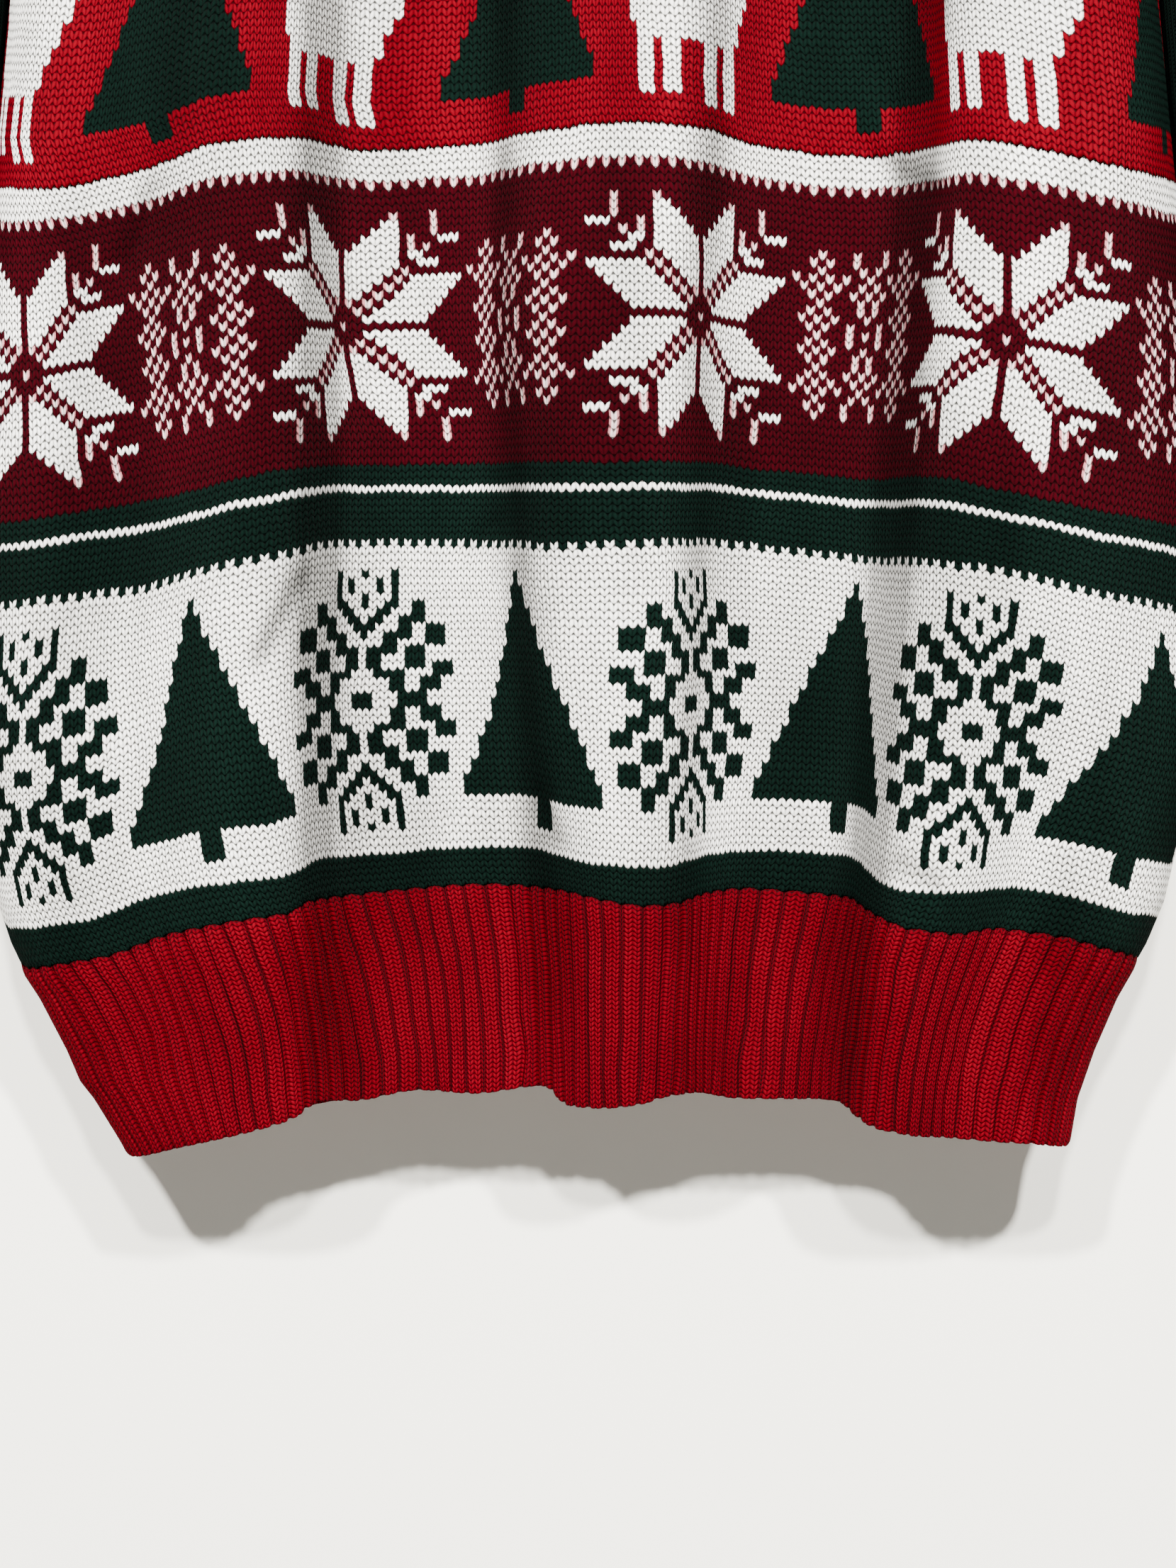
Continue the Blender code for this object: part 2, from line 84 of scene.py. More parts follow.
DROP_POWER = 1.8  # higher: the rows sag later towards their ends
NECK_CURVE_POWER = 0.7  # lower: a rounder neck
LEAST_DEPTH = 0.5  # by which the body is at least deeper than the armhole
NECK_HALF = NECK_SHARE * SHOULDER_HALF
Z_NECK = BAR_TOP - BAR_SLOPE * NECK_HALF + BAR_GAP + CLOTH
Z_SHOULDER = BAR_TOP - BAR_SLOPE * SHOULDER_HALF + BAR_GAP + CLOTH
Z_UNDERARM = Z_SHOULDER - ARMHOLE_HEIGHT
Z_HEM = Z_NECK - BODY_LENGTH
FRONT = -1
BACK = 1

# Columns: height above the hem, half width, depth from the middle plane.
BODY_SIZES = np.array([
    (0, 166, 44), (17, 169, 45), (34, 175, 46), (52, 183, 48), (71, 194, 51),
    (85, 200, 54), (110, 206, 57), (150, 211, 59), (227, 213, 59), (290, 209, 57),
    (332, 203.5, 55), (389, 198, 52), (410, 197, 50), (520, 197, 38), (600, 197, 29),
    (680, 197, 22),
])
# Columns: height above the hem, how far the sides of a row hang below its middle.
SIDE_DROP = np.array([(0, 20), (72, 19), (210, 15), (330, 7), (400, 2), (430, 0)])
# Columns: height above the hem, share of the folds' full depth.
FOLD_SHARE = np.array([
    (0, 0.72), (72, 0.88), (150, 1.0), (390, 0.94), (450, 0.74), (520, 0.5), (600, 0.2), (660, 0),
])
FLANK_HEIGHTS = (0, 110, 250, 400)
# Each flank: its x at those heights, and the half width of its slope.
FLANKS = {
    FRONT: {
        "a": ((-97, -96, -95, -94), 10.5), "b": ((-17, -22, -31, -33), 10.0),
        "c": ((34, 31, 36, 43), 11.0), "d": ((88, 95, 105, 115), 10.0),
        "e": ((-172, -171, -170, -170), 13.0), "f": ((-142, -141, -139, -138), 14.0),
    },
    BACK: {
        "g": ((-150, -152, -155, -158), 12.0), "h": ((-104, -106, -110, -112), 12.0),
        "i": ((-52, -50, -46, -44), 11.0), "j": ((6, 4, -2, -4), 12.0),
        "k": ((58, 60, 62, 66), 11.0), "l": ((112, 115, 118, 120), 12.0),
    },
}
# Each trough: its left flank, its right flank and its depth.
TROUGHS = {
    FRONT: (("a", "b", 40), ("b", "c", 9), ("c", "d", 40), ("e", "f", 17)),
    BACK: (("g", "h", 30), ("h", "i", 5), ("i", "j", 34), ("j", "k", 8), ("k", "l", 32)),
}

# Small creases: x and height of both ends, half width, depth.
CREASES = {
    FRONT: (
        (-160, 286, -148, 318, 4, 2.2), (-116, 148, -99, 184, 4, 3.0), (-47, 188, -33, 202, 4, 1.6),
        (90, 337, 119, 308, 4, 2.4), (96, 366, 106, 338, 4, 1.6), (-22, 110, -12, 84, 4, 2.4),
        (100, 84, 118, 74, 4, 2.0), (150, 420, 172, 470, 6, 2.6), (-170, 440, -150, 500, 6, 2.6),
        (60, 520, 110, 560, 7, 2.2), (-70, 500, -110, 545, 7, 2.2),
    ),
    BACK: (
        (-130, 150, -114, 186, 4, 2.6), (66, 196, 86, 224, 4, 2.2), (-40, 300, -22, 336, 4, 2.0),
        (128, 280, 142, 316, 4, 2.4), (20, 96, 32, 74, 4, 2.2), (-150, 430, -120, 480, 6, 2.6),
        (130, 440, 106, 500, 6, 2.6), (-60, 540, -20, 580, 7, 2.2), (40, 590, 90, 560, 7, 2.0),
    ),
}
print("heights from the hook's crown (mm): neck point", round(Z_NECK),
      "underarm", round(Z_UNDERARM), "hem", round(Z_HEM))

# %% The cloth's skin at any place


def span_at(knots, at):
    """Number of the gap between rising knots in which a place lies."""
    return np.clip(np.searchsorted(knots, at, side="right") - 1, 0, len(knots) - 2)


def by_height(table, height, column=1):
    """Read a column of a size table at a height above the hem."""
    return np.interp(height, table[:, 0], table[:, column])


def shoulder_line(x):
    return Z_NECK - BAR_SLOPE * (np.abs(x) - NECK_HALF)


def neck_line(x, side):
    drop = FRONT_NECK_DROP if side == FRONT else BACK_NECK_DROP
    share = np.clip(1 - (x / NECK_HALF) ** 2, 0, 1)
    return Z_NECK - drop * share ** NECK_CURVE_POWER


def over_bar(x, z):
    """Share of the full depth where the cloth turns over the hanger's bar."""
    turn = np.clip((shoulder_line(x) - z) / SHOULDER_ROUNDING, 0.0, 1.0)
    return np.sqrt(1 - (1 - turn) ** 2)


def armhole(z):
    """Half width of the panels at a height, and half depth of the armhole there."""
    share = np.clip((z - Z_UNDERARM) / ARMHOLE_HEIGHT, 0, 1)
    below = by_height(BODY_SIZES, z - Z_HEM)
    start = by_height(BODY_SIZES, Z_UNDERARM - Z_HEM)
    half = np.where(share > 0, start + (SHOULDER_HALF - start) * share, below)
    return half, ARMHOLE_HALF_DEPTH * np.sqrt(1 - (2 * share - 1) ** 2)


def fold_depth(x, height, side):
    step = {}
    for name, (places, slope) in FLANKS[side].items():
        middle = np.interp(height, FLANK_HEIGHTS, places)
        step[name] = 0.5 * (1 + np.tanh((x - middle) / slope))
    total = sum(depth * (step[a] - step[b]) for a, b, depth in TROUGHS[side])
    return total * by_height(FOLD_SHARE, height)


def crease_depth(x, height, creases):
    """Depth and strength of the small slanting creases at a place."""
    depth = np.zeros_like(x)
    strength = np.zeros_like(x)
    for x0, h0, x1, h1, width, deep in creases:
        length = math.hypot(x1 - x0, h1 - h0)
        along = ((x - x0) * (x1 - x0) + (height - h0) * (h1 - h0)) / length
        across = ((x - x0) * (h1 - h0) - (height - h0) * (x1 - x0)) / length
        ends = np.clip(np.minimum(along, length - along) / (0.35 * length) + 0.6, 0, 1)
        line = np.exp(-(across / width) ** 2) * ends * ends
        depth = depth + deep * line
        strength = np.maximum(strength, line * min(deep / 3, 1))
    return depth, strength


def skin(x, z, side):
    """Depth of the outer skin at x and z."""
    edge_x, edge_y = armhole(z)
    depth = by_height(BODY_SIZES, z - Z_HEM, 2)
    edge_depth = np.maximum(depth * over_bar(edge_x, z), edge_y + LEAST_DEPTH)
    across = x / edge_x * (1 - (edge_y / edge_depth) ** 2) ** (1 / EDGE_POWER)
    base = depth * over_bar(x, z) * np.sqrt(np.clip(1 - np.abs(across) ** EDGE_POWER, 0, 1))
    base = np.maximum(base, edge_y * np.abs(x / edge_x) ** ARMHOLE_FADE_POWER)
    inside = 1 - np.abs(x / edge_x) ** EDGE_FADE_POWER
    pressed = fold_depth(x, z - Z_HEM, side) + crease_depth(x, z - Z_HEM, CREASES[side])[0]
    y = base - pressed * inside * over_bar(x, z)
    return side * np.maximum(y, SEAM / 2)

print("depth of the front and the back above the rib, in the middle (mm):",
      [round(abs(float(skin(0.0, Z_HEM + RIB_HEIGHT, side))), 1) for side in (FRONT, BACK)])

# %% [markdown]
# The left side hangs a little wider than the right one, from the chest down to the ribs.

# %% Hang of the left side
# Heights, and how far the left edge stands out there; heights, and half the body's width there.
LEFT_HANG = ((-800, -790, -770, -732, -700, -640, -370, -260, -150),
             (-2, 2, 11, 14, 11, 9, 10, 5, 0))
HALF_WIDTH = ((-800, -715, -650, -560, -150), (166, 194, 211, 213, 213))
HANG_FROM = 0.55  # share of the half width at which the wider hang begins


def smooth_step(t):
    return t * t * (3 - 2 * t)


def hang(points):
    """Move the left side of the cloth out a little."""
    x, z = points[..., 0], points[..., 2]
    side = np.clip((-x / np.interp(z, *HALF_WIDTH) - HANG_FROM) / (1 - HANG_FROM), 0, 1)
    moved = points.copy()
    moved[..., 0] -= np.interp(z, *LEFT_HANG) * smooth_step(side)
    return moved


# %% [markdown]
# Cloth doesn't stretch much, so a stitch keeps its width along the folded line and looks narrow on
# a flank that faces sideways.  The table below says, for a set of heights, which x a share of the
# folded line has come to.

# %% Where along a folded row a share of its length lies
TABLE_HEIGHTS = np.arange(0, 684, 4.0)
TABLE_SHARES = np.linspace(0, 1, 745)


def folded_rows(side):
    way = np.linspace(-1, 1, 1401)
    spread = np.sign(way) * (1 - (1 - np.abs(way)) ** 2)
    rows = []
    for height in TABLE_HEIGHTS:
        z = Z_HEM + height
        x = spread * float(armhole(z)[0])
        y = skin(x, np.full_like(x, z), side)
        run = np.concatenate(([0], np.cumsum(np.hypot(np.diff(x), np.diff(y)))))
        rows.append(np.interp(TABLE_SHARES * run[-1], run, x))
    return np.array(rows)


FOLDED = {side: folded_rows(side) for side in (FRONT, BACK)}


def look_up(table, height, share):
    """Bilinear reading of the folded rows."""
    h = np.clip(height / (TABLE_HEIGHTS[1] - TABLE_HEIGHTS[0]), 0, len(TABLE_HEIGHTS) - 1.001)
    s = np.clip(share, 0, 1) * (len(TABLE_SHARES) - 1.001)
    hi, si = h.astype(int), s.astype(int)
    hf, sf = h - hi, s - si
    low = table[hi, si] * (1 - sf) + table[hi, si + 1] * sf
    high = table[hi + 1, si] * (1 - sf) + table[hi + 1, si + 1] * sf
    return low * (1 - hf) + high * hf


def panel_top(share, side):
    x = (2 * share - 1) * SHOULDER_HALF
    return np.where(np.abs(x) < NECK_HALF, neck_line(x, side), shoulder_line(x))


def place(share, z, side):
    """Points of a panel's skin at shares of its width and heights, in millimetres."""
    share, z = np.broadcast_arrays(share, z)
    half = armhole(z)[0]
    below = np.minimum(z, Z_UNDERARM)
    x = look_up(FOLDED[side], below - Z_HEM, share) * half / armhole(below)[0]
    top = panel_top(share, side)
    part = np.clip((z - Z_UNDERARM) / (top - Z_UNDERARM), 0, 1)
    straight = (2 * share - 1) * half
    x = x + (straight - x) * part
    y = skin(x, z, side)
    aside = np.where(part > 0, np.abs(2 * share - 1), np.abs(x / half))
    drop = by_height(SIDE_DROP, z - Z_HEM) * aside ** DROP_POWER
    return np.stack((x, y, z - drop), axis=-1)


for height in (71, 227, 389):
    steps = np.diff(place(np.linspace(0, 1, 600), Z_HEM + height, FRONT)[:, :2], axis=0)
    print("the front is", round(float(np.hypot(*steps.T).sum())), "mm wide laid flat,",
          height, "mm above the hem")

# %% [markdown]
# ## The camera
#
# A close view of the lower body, straight on.

# %% Camera
MIDDLE_HEIGHT = 108.0  # height above the hem of what lies in the middle of the view, in mm
VIEW_HEIGHT = 0.5486  # height that the view takes in, in metres
VIEW_DISTANCE = 1.15
FRONT_FACE = -0.015  # depth of the cloth that the distance is counted from
VIEW_X = -0.0033  # the middle of the view, a little to the left


def add_object(name, data):
    obj = bpy.data.objects.new(name, data)
    bpy.context.collection.objects.link(obj)
    return obj


camera = add_object("camera", bpy.data.cameras.new("camera"))
camera.data.sensor_fit = "VERTICAL"
camera.data.sensor_height = 36.0
camera.data.lens = camera.data.sensor_height * VIEW_DISTANCE / VIEW_HEIGHT
camera.data.clip_start = 0.01
camera.location = (VIEW_X, FRONT_FACE - VIEW_DISTANCE, (Z_HEM + MIDDLE_HEIGHT) * MM)
camera.rotation_euler = (math.pi / 2, 0, 0)
bpy.context.scene.camera = camera
print("camera", tuple(round(c, 3) for c in camera.location), "lens", round(camera.data.lens, 1))

# %% [markdown]
# ## Materials
#
# A small class lets the shader maths be written as sums and products.  `Value` wraps one socket;
# each operator adds a Math node.  `Recipe` holds one material and adds every other kind of node.

# %% Shader maths as Python


def operator(kind, turned=False):
    """A method that adds a Math node for a value and, if there is one, the value it meets."""
    def method(self, *others):
        inputs = (*others, self) if turned else (self, *others)
        return self.recipe.node("ShaderNodeMath", {"operation": kind}, inputs)
    return method


class Value:
    """One output socket of a material's nodes, with arithmetic."""

    def __init__(self, recipe, socket):
        self.recipe = recipe
        self.socket = socket

    def out(self, name):
        return Value(self.recipe, self.socket.node.outputs[name])

    __add__ = __radd__ = operator("ADD")
    __mul__ = __rmul__ = operator("MULTIPLY")
    __sub__ = operator("SUBTRACT")
    __rsub__ = operator("SUBTRACT", turned=True)
    __pow__ = operator("POWER")
    __abs__ = operator("ABSOLUTE")
    fract = operator("FRACT")
    floor = operator("FLOOR")
    sine = operator("SINE")
    least = operator("MAXIMUM")
    most = operator("MINIMUM")


class Recipe:
    """One material: its nodes and its Principled shader."""

    def __init__(self, name):
        self.material = bpy.data.materials.new(name)
        self.material.use_nodes = True
        self.nodes = self.material.node_tree.nodes
        self.links = self.material.node_tree.links
        self.shader = self.nodes["Principled BSDF"]

    def feed(self, socket, value):
        if isinstance(value, Value):
            self.links.new(value.socket, socket)
        else:
            socket.default_value = value

    def node(self, kind, settings=None, inputs=()):
        made = self.nodes.new(kind)
        for key, value in (settings or {}).items():
            setattr(made, key, value)
        named = inputs.items() if isinstance(inputs, dict) else enumerate(inputs)
        for key, value in named:
            self.feed(made.inputs[key], value)
        return Value(self, next(s for s in made.outputs if s.enabled))

    def set(self, **values):
        for key, value in values.items():
            self.feed(self.shader.inputs[key.replace("_", " ")], value)

    def noise(self, where, scale, detail, roughness=0.5):
        inputs = {"Vector": where, "Scale": scale, "Detail": detail, "Roughness": roughness}
        return self.node("ShaderNodeTexNoise", {}, inputs)

    def place(self):
        """Where a point lies on its object, in metres."""
        return self.node("ShaderNodeTexCoord").out("Object")


# %% [markdown]
# ### Yarn
#
# Soft acrylic yarn is matt and a little hairy.  Every stitch shows two rounded legs that lean
# together.  Their roundness is a bump worked out from the stitch coordinates: u counts columns and
# v counts rows.  The tops of the legs get painted light in the colour, and light doesn't reach the
# pits between the legs, so painted shade darkens the yarn there, and pale yarn most.  Ribs pull
# their stitches long: their legs are steeper and their pits shallow, with less painted shade.

# %% The yarn material
LEG_RISE = 0.55  # rows that a leg climbs from the middle of its stitch to the edge
LEG_START = 0.3  # rows that the foot of a stitch lies below its row


def yarn_material(name, leg_rise=LEG_RISE, leg_start=LEG_START, pits=1.0):
    r = Recipe(name)
    where = r.place()
    stitch = r.node("ShaderNodeSeparateXYZ", {}, (r.node("ShaderNodeUVMap", {"uv_map": "stitch"}),))
    u, v = stitch.out("X"), stitch.out("Y")
    # Across a stitch, t is 0 in its middle and 1 at its edge; up a leg, w goes from 0 to 1.
    t = abs(u.fract() * 2 - 1)
    up = v + leg_start - t * leg_rise
    w = up.fract()
    round_leg = (1 - (w * 2 - 1) ** 2.0) ** 0.55
    round_side = 1 - ((t * 2 - 1) ** 2.0) * 0.75
    height = round_leg * round_side
    # One pit lies between two stitches and a smaller one between the two legs of a stitch.
    near = 1 - abs(w * 2 - 1)
    side_pit = (1 - ((1 - t) * 2.5) ** 2.0 - (near * 2.3) ** 2.0).least(0.0)
    middle_pit = (1 - (t * 2.9) ** 2.0 - (near * 2.5) ** 2.0).least(0.0)
    pit = (side_pit * 1.4 + middle_pit * 1.2).most(0.9) * pits
    # Each stitch has a chance of its own, and fibres that run along its legs.
    cell = r.node("ShaderNodeCombineXYZ", {}, (u.floor(), up.floor(), 0.0))
    chance = r.node("ShaderNodeTexWhiteNoise", {"noise_dimensions": "2D"}, {"Vector": cell})
    strand = (t * 5.0 + u * 1.7, w * 5.5 + t * 1.3, chance * 9.0)
    fibre = r.noise(r.node("ShaderNodeCombineXYZ", {}, strand), 1.6, 3.0, 0.65)
    hair = r.noise(where, 2400.0, 2.0, 0.7)
    thick = r.noise(where, 420.0, 1.0)
    # Over the whole garment the colour varies in soft patches, and painted shade runs in soft
    # upright streaks, like the shade of small folds.
    patch = r.noise(where, 26.0, 2.0)
    upright = r.node("ShaderNodeMapping", {}, {"Vector": where, "Scale": (30.0, 30.0, 7.0)})
    fold_streak_shade = r.noise(upright, 1.0, 2.0)
    # Each face's yarn colour, with the painted shade of folds, creases and rib grooves in it.
    colour = r.node("ShaderNodeAttribute", {"attribute_name": "yarn"})
    # Painted shade in the pits, stronger on pale yarn, and painted light on the tops of the legs;
    # fibres and each stitch's chance vary the yarn's own tone.
    pit_shade = pit * (0.70 + colour.out("Fac") * 0.34)
    light = 0.68 + height * 0.40 + fibre * 0.30 + chance * 0.12 - 0.19
    light = light * (1 - pit_shade) * (1 + (fold_streak_shade - 0.5) * 1.3 + (patch - 0.5) * 0.5)
    inputs = {0: colour, "Scale": light.least(0.05)}
    shaded = r.node("ShaderNodeVectorMath", {"operation": "SCALE"}, inputs)
    relief = height + fibre * 0.35 + hair * 0.12 + thick * 0.2 - pit * 0.8
    bumped = r.node("ShaderNodeBump", {}, {"Strength": 1.0, "Distance": 0.0009, "Height": relief})
    r.set(Base_Color=shaded, Normal=bumped, Roughness=0.88, Specular_IOR_Level=0.008,
          Sheen_Weight=0.004, Sheen_Roughness=0.45)
    return r.material


KNIT = yarn_material("knitted acrylic yarn")
RIBBED = yarn_material("ribbed acrylic yarn", leg_rise=0.6, leg_start=0.35, pits=0.85)
print("materials", KNIT.name, "and", RIBBED.name, "have", len(KNIT.node_tree.nodes), "nodes each")

# %% [markdown]
# ### Hanger finishes
#
# The hanger is pale varnished wood with a drawn steel hook.  The grain runs along the bar, so its
# noise is stretched that way, and rings of the trunk show as bands across it.

# %% Wood and wire
PALE_WOOD, DARK_WOOD = (0.62, 0.43, 0.24, 1), (0.42, 0.25, 0.12, 1)


def wood_material():
    r = Recipe("varnished beech")
    along = r.node("ShaderNodeMapping", {}, {"Vector": r.place(), "Scale": (9.0, 90.0, 90.0)})
    grain = r.noise(along, 3.0, 6.0, 0.6)
    rings = ((r.node("ShaderNodeSeparateXYZ", {}, (along,)).out("Z") + grain * 2.5) * 3.0).sine()
    # Sockets 6 and 7 are the two colours of the mix, and output 2 is the mixed one.
    inputs = {"Factor": grain * 0.8 + rings * 0.12, 6: DARK_WOOD, 7: PALE_WOOD}
    colour = r.node("ShaderNodeMix", {"data_type": "RGBA"}, inputs).out(2)
    bumped = r.node("ShaderNodeBump", {}, {"Strength": 0.15, "Distance": 0.0005, "Height": grain})
    r.set(Base_Color=colour, Normal=bumped, Roughness=0.38, Coat_Weight=0.3)
    return r.material


def steel_material():
    r = Recipe("drawn steel wire")
    fine = r.noise(r.place(), 900.0, 3.0)
    r.set(Base_Color=(0.62, 0.62, 0.64, 1), Metallic=1.0, Roughness=fine * 0.2 + 0.18)
    return r.material


for node, finish in (("hanger_bar", wood_material()), ("hanger_hook", steel_material())):
    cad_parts[node].data.materials.clear()
    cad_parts[node].data.materials.append(finish)
    print(node, "is", finish.name)

# %% [markdown]
# ## The knitting chart
#
# Rows count up from the ribbed hem, columns from the middle of a panel.  The pattern repeats every
# 50 columns.  Its figures are common ones, charted from named blocks of stitches: each function
# says whether a stitch belongs to the figure.

# %% Colours of yarn, in linear light
WHITE, GREEN, MAROON, RED = range(4)
YARNS = np.array([
    (0.90, 0.88, 0.83),
    (0.0017, 0.0058, 0.0041),
    (0.0225, 0.0006, 0.0021),
    (0.098, 0.0001, 0.0041),
])
REPEAT = 50  # columns from one star to the next
FIGURE_COLUMN = 13  # the middle column of a star


def show(figure, columns, rows):
    """Print a figure as a knitter's chart."""
    for y in rows:
        print("".join("#" if figure(x, y) else "." for x in range(-columns, columns + 1)))


# %% The eight-petalled star


def star(x, y):
    x, y = abs(x), abs(y)
    if x == 0 or y == 0:
        return x == y
    if x > y:
        x, y = y, x
    if x == y:
        return 2 <= x <= 7 or x in (9, 10)
    if x <= 6 and x + 2 <= y <= x + 8:
        return True
    return (x == 8 and 8 <= y <= 11) or (x == 11 and 11 <= y <= 14)


show(star, 14, range(14, -15, -1))

# %% The lattice between two stars
# For each row counted from the middle one: columns beside the lattice's two side lines, and
# columns beside its middle line.
LATTICE_SIDE = ((0,), (1,), (0, 2), (1,), (0,), (1,), (0, 2), (1, 3), (0,), (1,), (0,))
LATTICE_MIDDLE = ((0, 2), (2,), (0,), (1,), (1,), (0, 2), (1,), (0,), (1,), (2,), (2,))


def lattice(x, y):
    y = abs(y)
    if y >= len(LATTICE_SIDE):
        return False
    return abs(abs(x) - 6) in LATTICE_SIDE[y] or abs(x) in LATTICE_MIDDLE[y]


show(lattice, 10, range(10, -11, -1))

# %% The medallion: blocks of stitches, each mirrored four ways
# Each block: first and last column, first and last row.
MEDALLION = (
    (0, 0, 0, 0), (1, 1, 0, 0), (1, 2, 4, 6), (3, 4, 6, 8), (5, 6, 8, 10), (7, 8, 10, 12),
    (9, 11, 7, 9), (6, 8, 4, 6), (10, 12, 3, 4), (9, 10, 1, 2), (2, 3, 3, 3), (4, 4, 1, 3),
    (5, 5, 0, 3), (6, 7, 0, 0), (8, 8, 0, 2), (0, 0, 8, 9), (1, 1, 9, 10), (2, 2, 10, 11),
    (3, 3, 11, 12), (4, 4, 12, 16), (2, 2, 14, 15), (0, 0, 12, 13), (0, 0, 16, 16),
)


def in_blocks(blocks, x, y):
    return any(a <= x <= b and c <= y <= d for a, b, c, d in blocks)


def medallion(x, y):
    return in_blocks(MEDALLION, abs(x), max(y, -1 - y))


show(medallion, 12, range(16, -18, -1))

# %% The fir tree: steps of two and three rows in turn, each wider by a stitch on both sides
TREE_ROWS = 30


def fir(x, below_top):
    """below_top counts rows from the tip down; the chart adds a trunk below."""
    half = 2 * (below_top // 5) + (below_top % 5 >= 2)
    return 0 <= below_top < TREE_ROWS and abs(x) <= half


show(fir, 12, range(TREE_ROWS))

# %% The reindeer, seen from its side, in such blocks too
REINDEER = (
    (-6, -5, 4, 10), (-3, -2, 4, 10), (2, 3, 3, 10), (5, 6, 3, 10),
    (-6, 6, 11, 22), (7, 7, 12, 24), (-7, -7, 13, 19), (-8, -7, 20, 22), (-9, -9, 21, 23),
    (8, 8, 15, 27), (9, 9, 17, 31), (10, 10, 20, 31), (11, 11, 23, 31), (6, 8, 22, 26),
    (7, 13, 28, 30), (8, 12, 27, 31), (14, 14, 28, 29), (7, 8, 32, 32),
    (7, 7, 32, 37), (5, 6, 34, 34), (4, 4, 35, 37), (8, 9, 35, 35), (10, 10, 36, 38),
    (6, 6, 38, 40), (8, 8, 38, 39),
)


def reindeer(x, y):
    return in_blocks(REINDEER, x, y)


show(reindeer, 14, range(40, 2, -1))

# %% The chart, row by row
# The first row of each band, from the rib up.
WHITE_BAND = 6
TOOTHED_ROW = 46  # white and green stitches in turn
GREEN_BAND = 47
WHITE_LINE = 54
MAROON_BAND = 58
MAROON_TEETH = 93  # white and maroon stitches in turn
RED_BAND = 98
PATTERN_ROWS = 142
MEDALLION_MIDDLE = 26
STAR_MIDDLE = 75
# Two kinds of tree stand between the figures: row of the tip, first and last row of the trunk.
LOW_TREE = (42, 9, 12)
HIGH_TREE = (133, 101, 103)


def stitch_colour(row, column):
    """The yarn of the stitch in a row and a column."""
    x = (column - FIGURE_COLUMN + REPEAT // 2) % REPEAT - REPEAT // 2
    between = (column - FIGURE_COLUMN) % REPEAT - REPEAT // 2

    def tree(tip, low, high):
        return fir(between, tip - row) or (abs(between) <= 1 and low <= row <= high)

    if row < WHITE_BAND:
        return GREEN
    if row < TOOTHED_ROW:
        return GREEN if medallion(x, row - MEDALLION_MIDDLE) or tree(*LOW_TREE) else WHITE
    if row < GREEN_BAND:
        return WHITE if column % 2 else GREEN
    if row < MAROON_BAND:
        return WHITE if row == WHITE_LINE else GREEN
    if row < MAROON_TEETH:
        y = row - STAR_MIDDLE
        return WHITE if star(x, y) or lattice(between, y) else MAROON
    if row == MAROON_TEETH:
        return WHITE if column % 2 else MAROON
    if row < RED_BAND:
        return WHITE
    if row < PATTERN_ROWS:
        return WHITE if reindeer(x, row - RED_BAND) else GREEN if tree(*HIGH_TREE) else RED
    return GREEN


COLUMNS = 210
CHART_ROWS = 240
MIDDLE = COLUMNS // 2
CHART = np.array([
    [stitch_colour(row, column - MIDDLE) for column in range(COLUMNS)] for row in range(CHART_ROWS)
])
print("chart of", CHART.shape, "stitches; white share of the star band:",
      round(float((CHART[MAROON_BAND:MAROON_TEETH] == WHITE).mean()), 2))

# %% [markdown]
# ## Building cloth
#
# Each piece of cloth is a closed wall.  The outer skin has a column of points for every quarter or
# half stitch, raised along the legs of the stitches and lower in the grooves between them.  The
# inner skin is plain and has few points, and a strip joins the two round every edge.

# %% Closed walls from two grids


def grid_faces(number):
    """Quads between the points of a grid, which are given by their numbers."""
    quads = (number[:-1, :-1], number[:-1, 1:], number[1:, 1:], number[1:, :-1])
    return np.stack(quads, axis=-1).reshape(-1, 4).tolist()


def zip_edges(a, b):
    """Triangles between two lines of points that run the same way and may differ in number."""
    a, b = a.tolist(), b.tolist()
    faces = []
    i = j = 0
    while i < len(a) - 1 or j < len(b) - 1:
        if j == len(b) - 1 or (i < len(a) - 1 and (i + 1) * (len(b) - 1) <= (j + 1) * (len(a) - 1)):
            faces.append((a[i], a[i + 1], b[j]))
            i += 1
        else:
            faces.append((a[i], b[j + 1], b[j]))
            j += 1
    return faces


def cloth_wall(name, outer, inner, uv, face_colours, lining_colour, closed=False, material=KNIT):
    """A closed wall of cloth.  Grids hold millimetres; uv counts stitches and rows."""
    points = hang(np.concatenate((outer.reshape(-1, 3), inner.reshape(-1, 3)))) * MM
    number = np.arange(len(points))
    split = outer.shape[0] * outer.shape[1]
    a, b = number[:split].reshape(outer.shape[:2]), number[split:].reshape(inner.shape[:2])
    if closed:
        a, b = (np.concatenate((n, n[:, :1]), axis=1) for n in (a, b))
    outside = grid_faces(a)
    edges = zip_edges(a[0], b[0]) + zip_edges(a[-1], b[-1])
    if not closed:
        edges += zip_edges(a[:, 0], b[:, 0]) + zip_edges(a[:, -1], b[:, -1])
    mesh = bpy.data.meshes.new(name)
    mesh.from_pydata(points.tolist(), [], outside + grid_faces(b) + edges)
    shape = bmesh.new()
    shape.from_mesh(mesh)
    bmesh.ops.recalc_face_normals(shape, faces=shape.faces)
    shape.to_mesh(mesh)
    shape.free()
    mesh.shade_smooth()
    paint(mesh, outer.shape[1], len(outside), uv, face_colours, lining_colour, closed)
    mesh.materials.append(material)
    return add_object(name, mesh)


# Where the outside and the lining lie across the map for baking: start and width.
OUTSIDE_PART, LINING_PART = (0.01, 0.58), (0.62, 0.36)


def read(items, what, values):
    items.foreach_get(what, values)
    return values


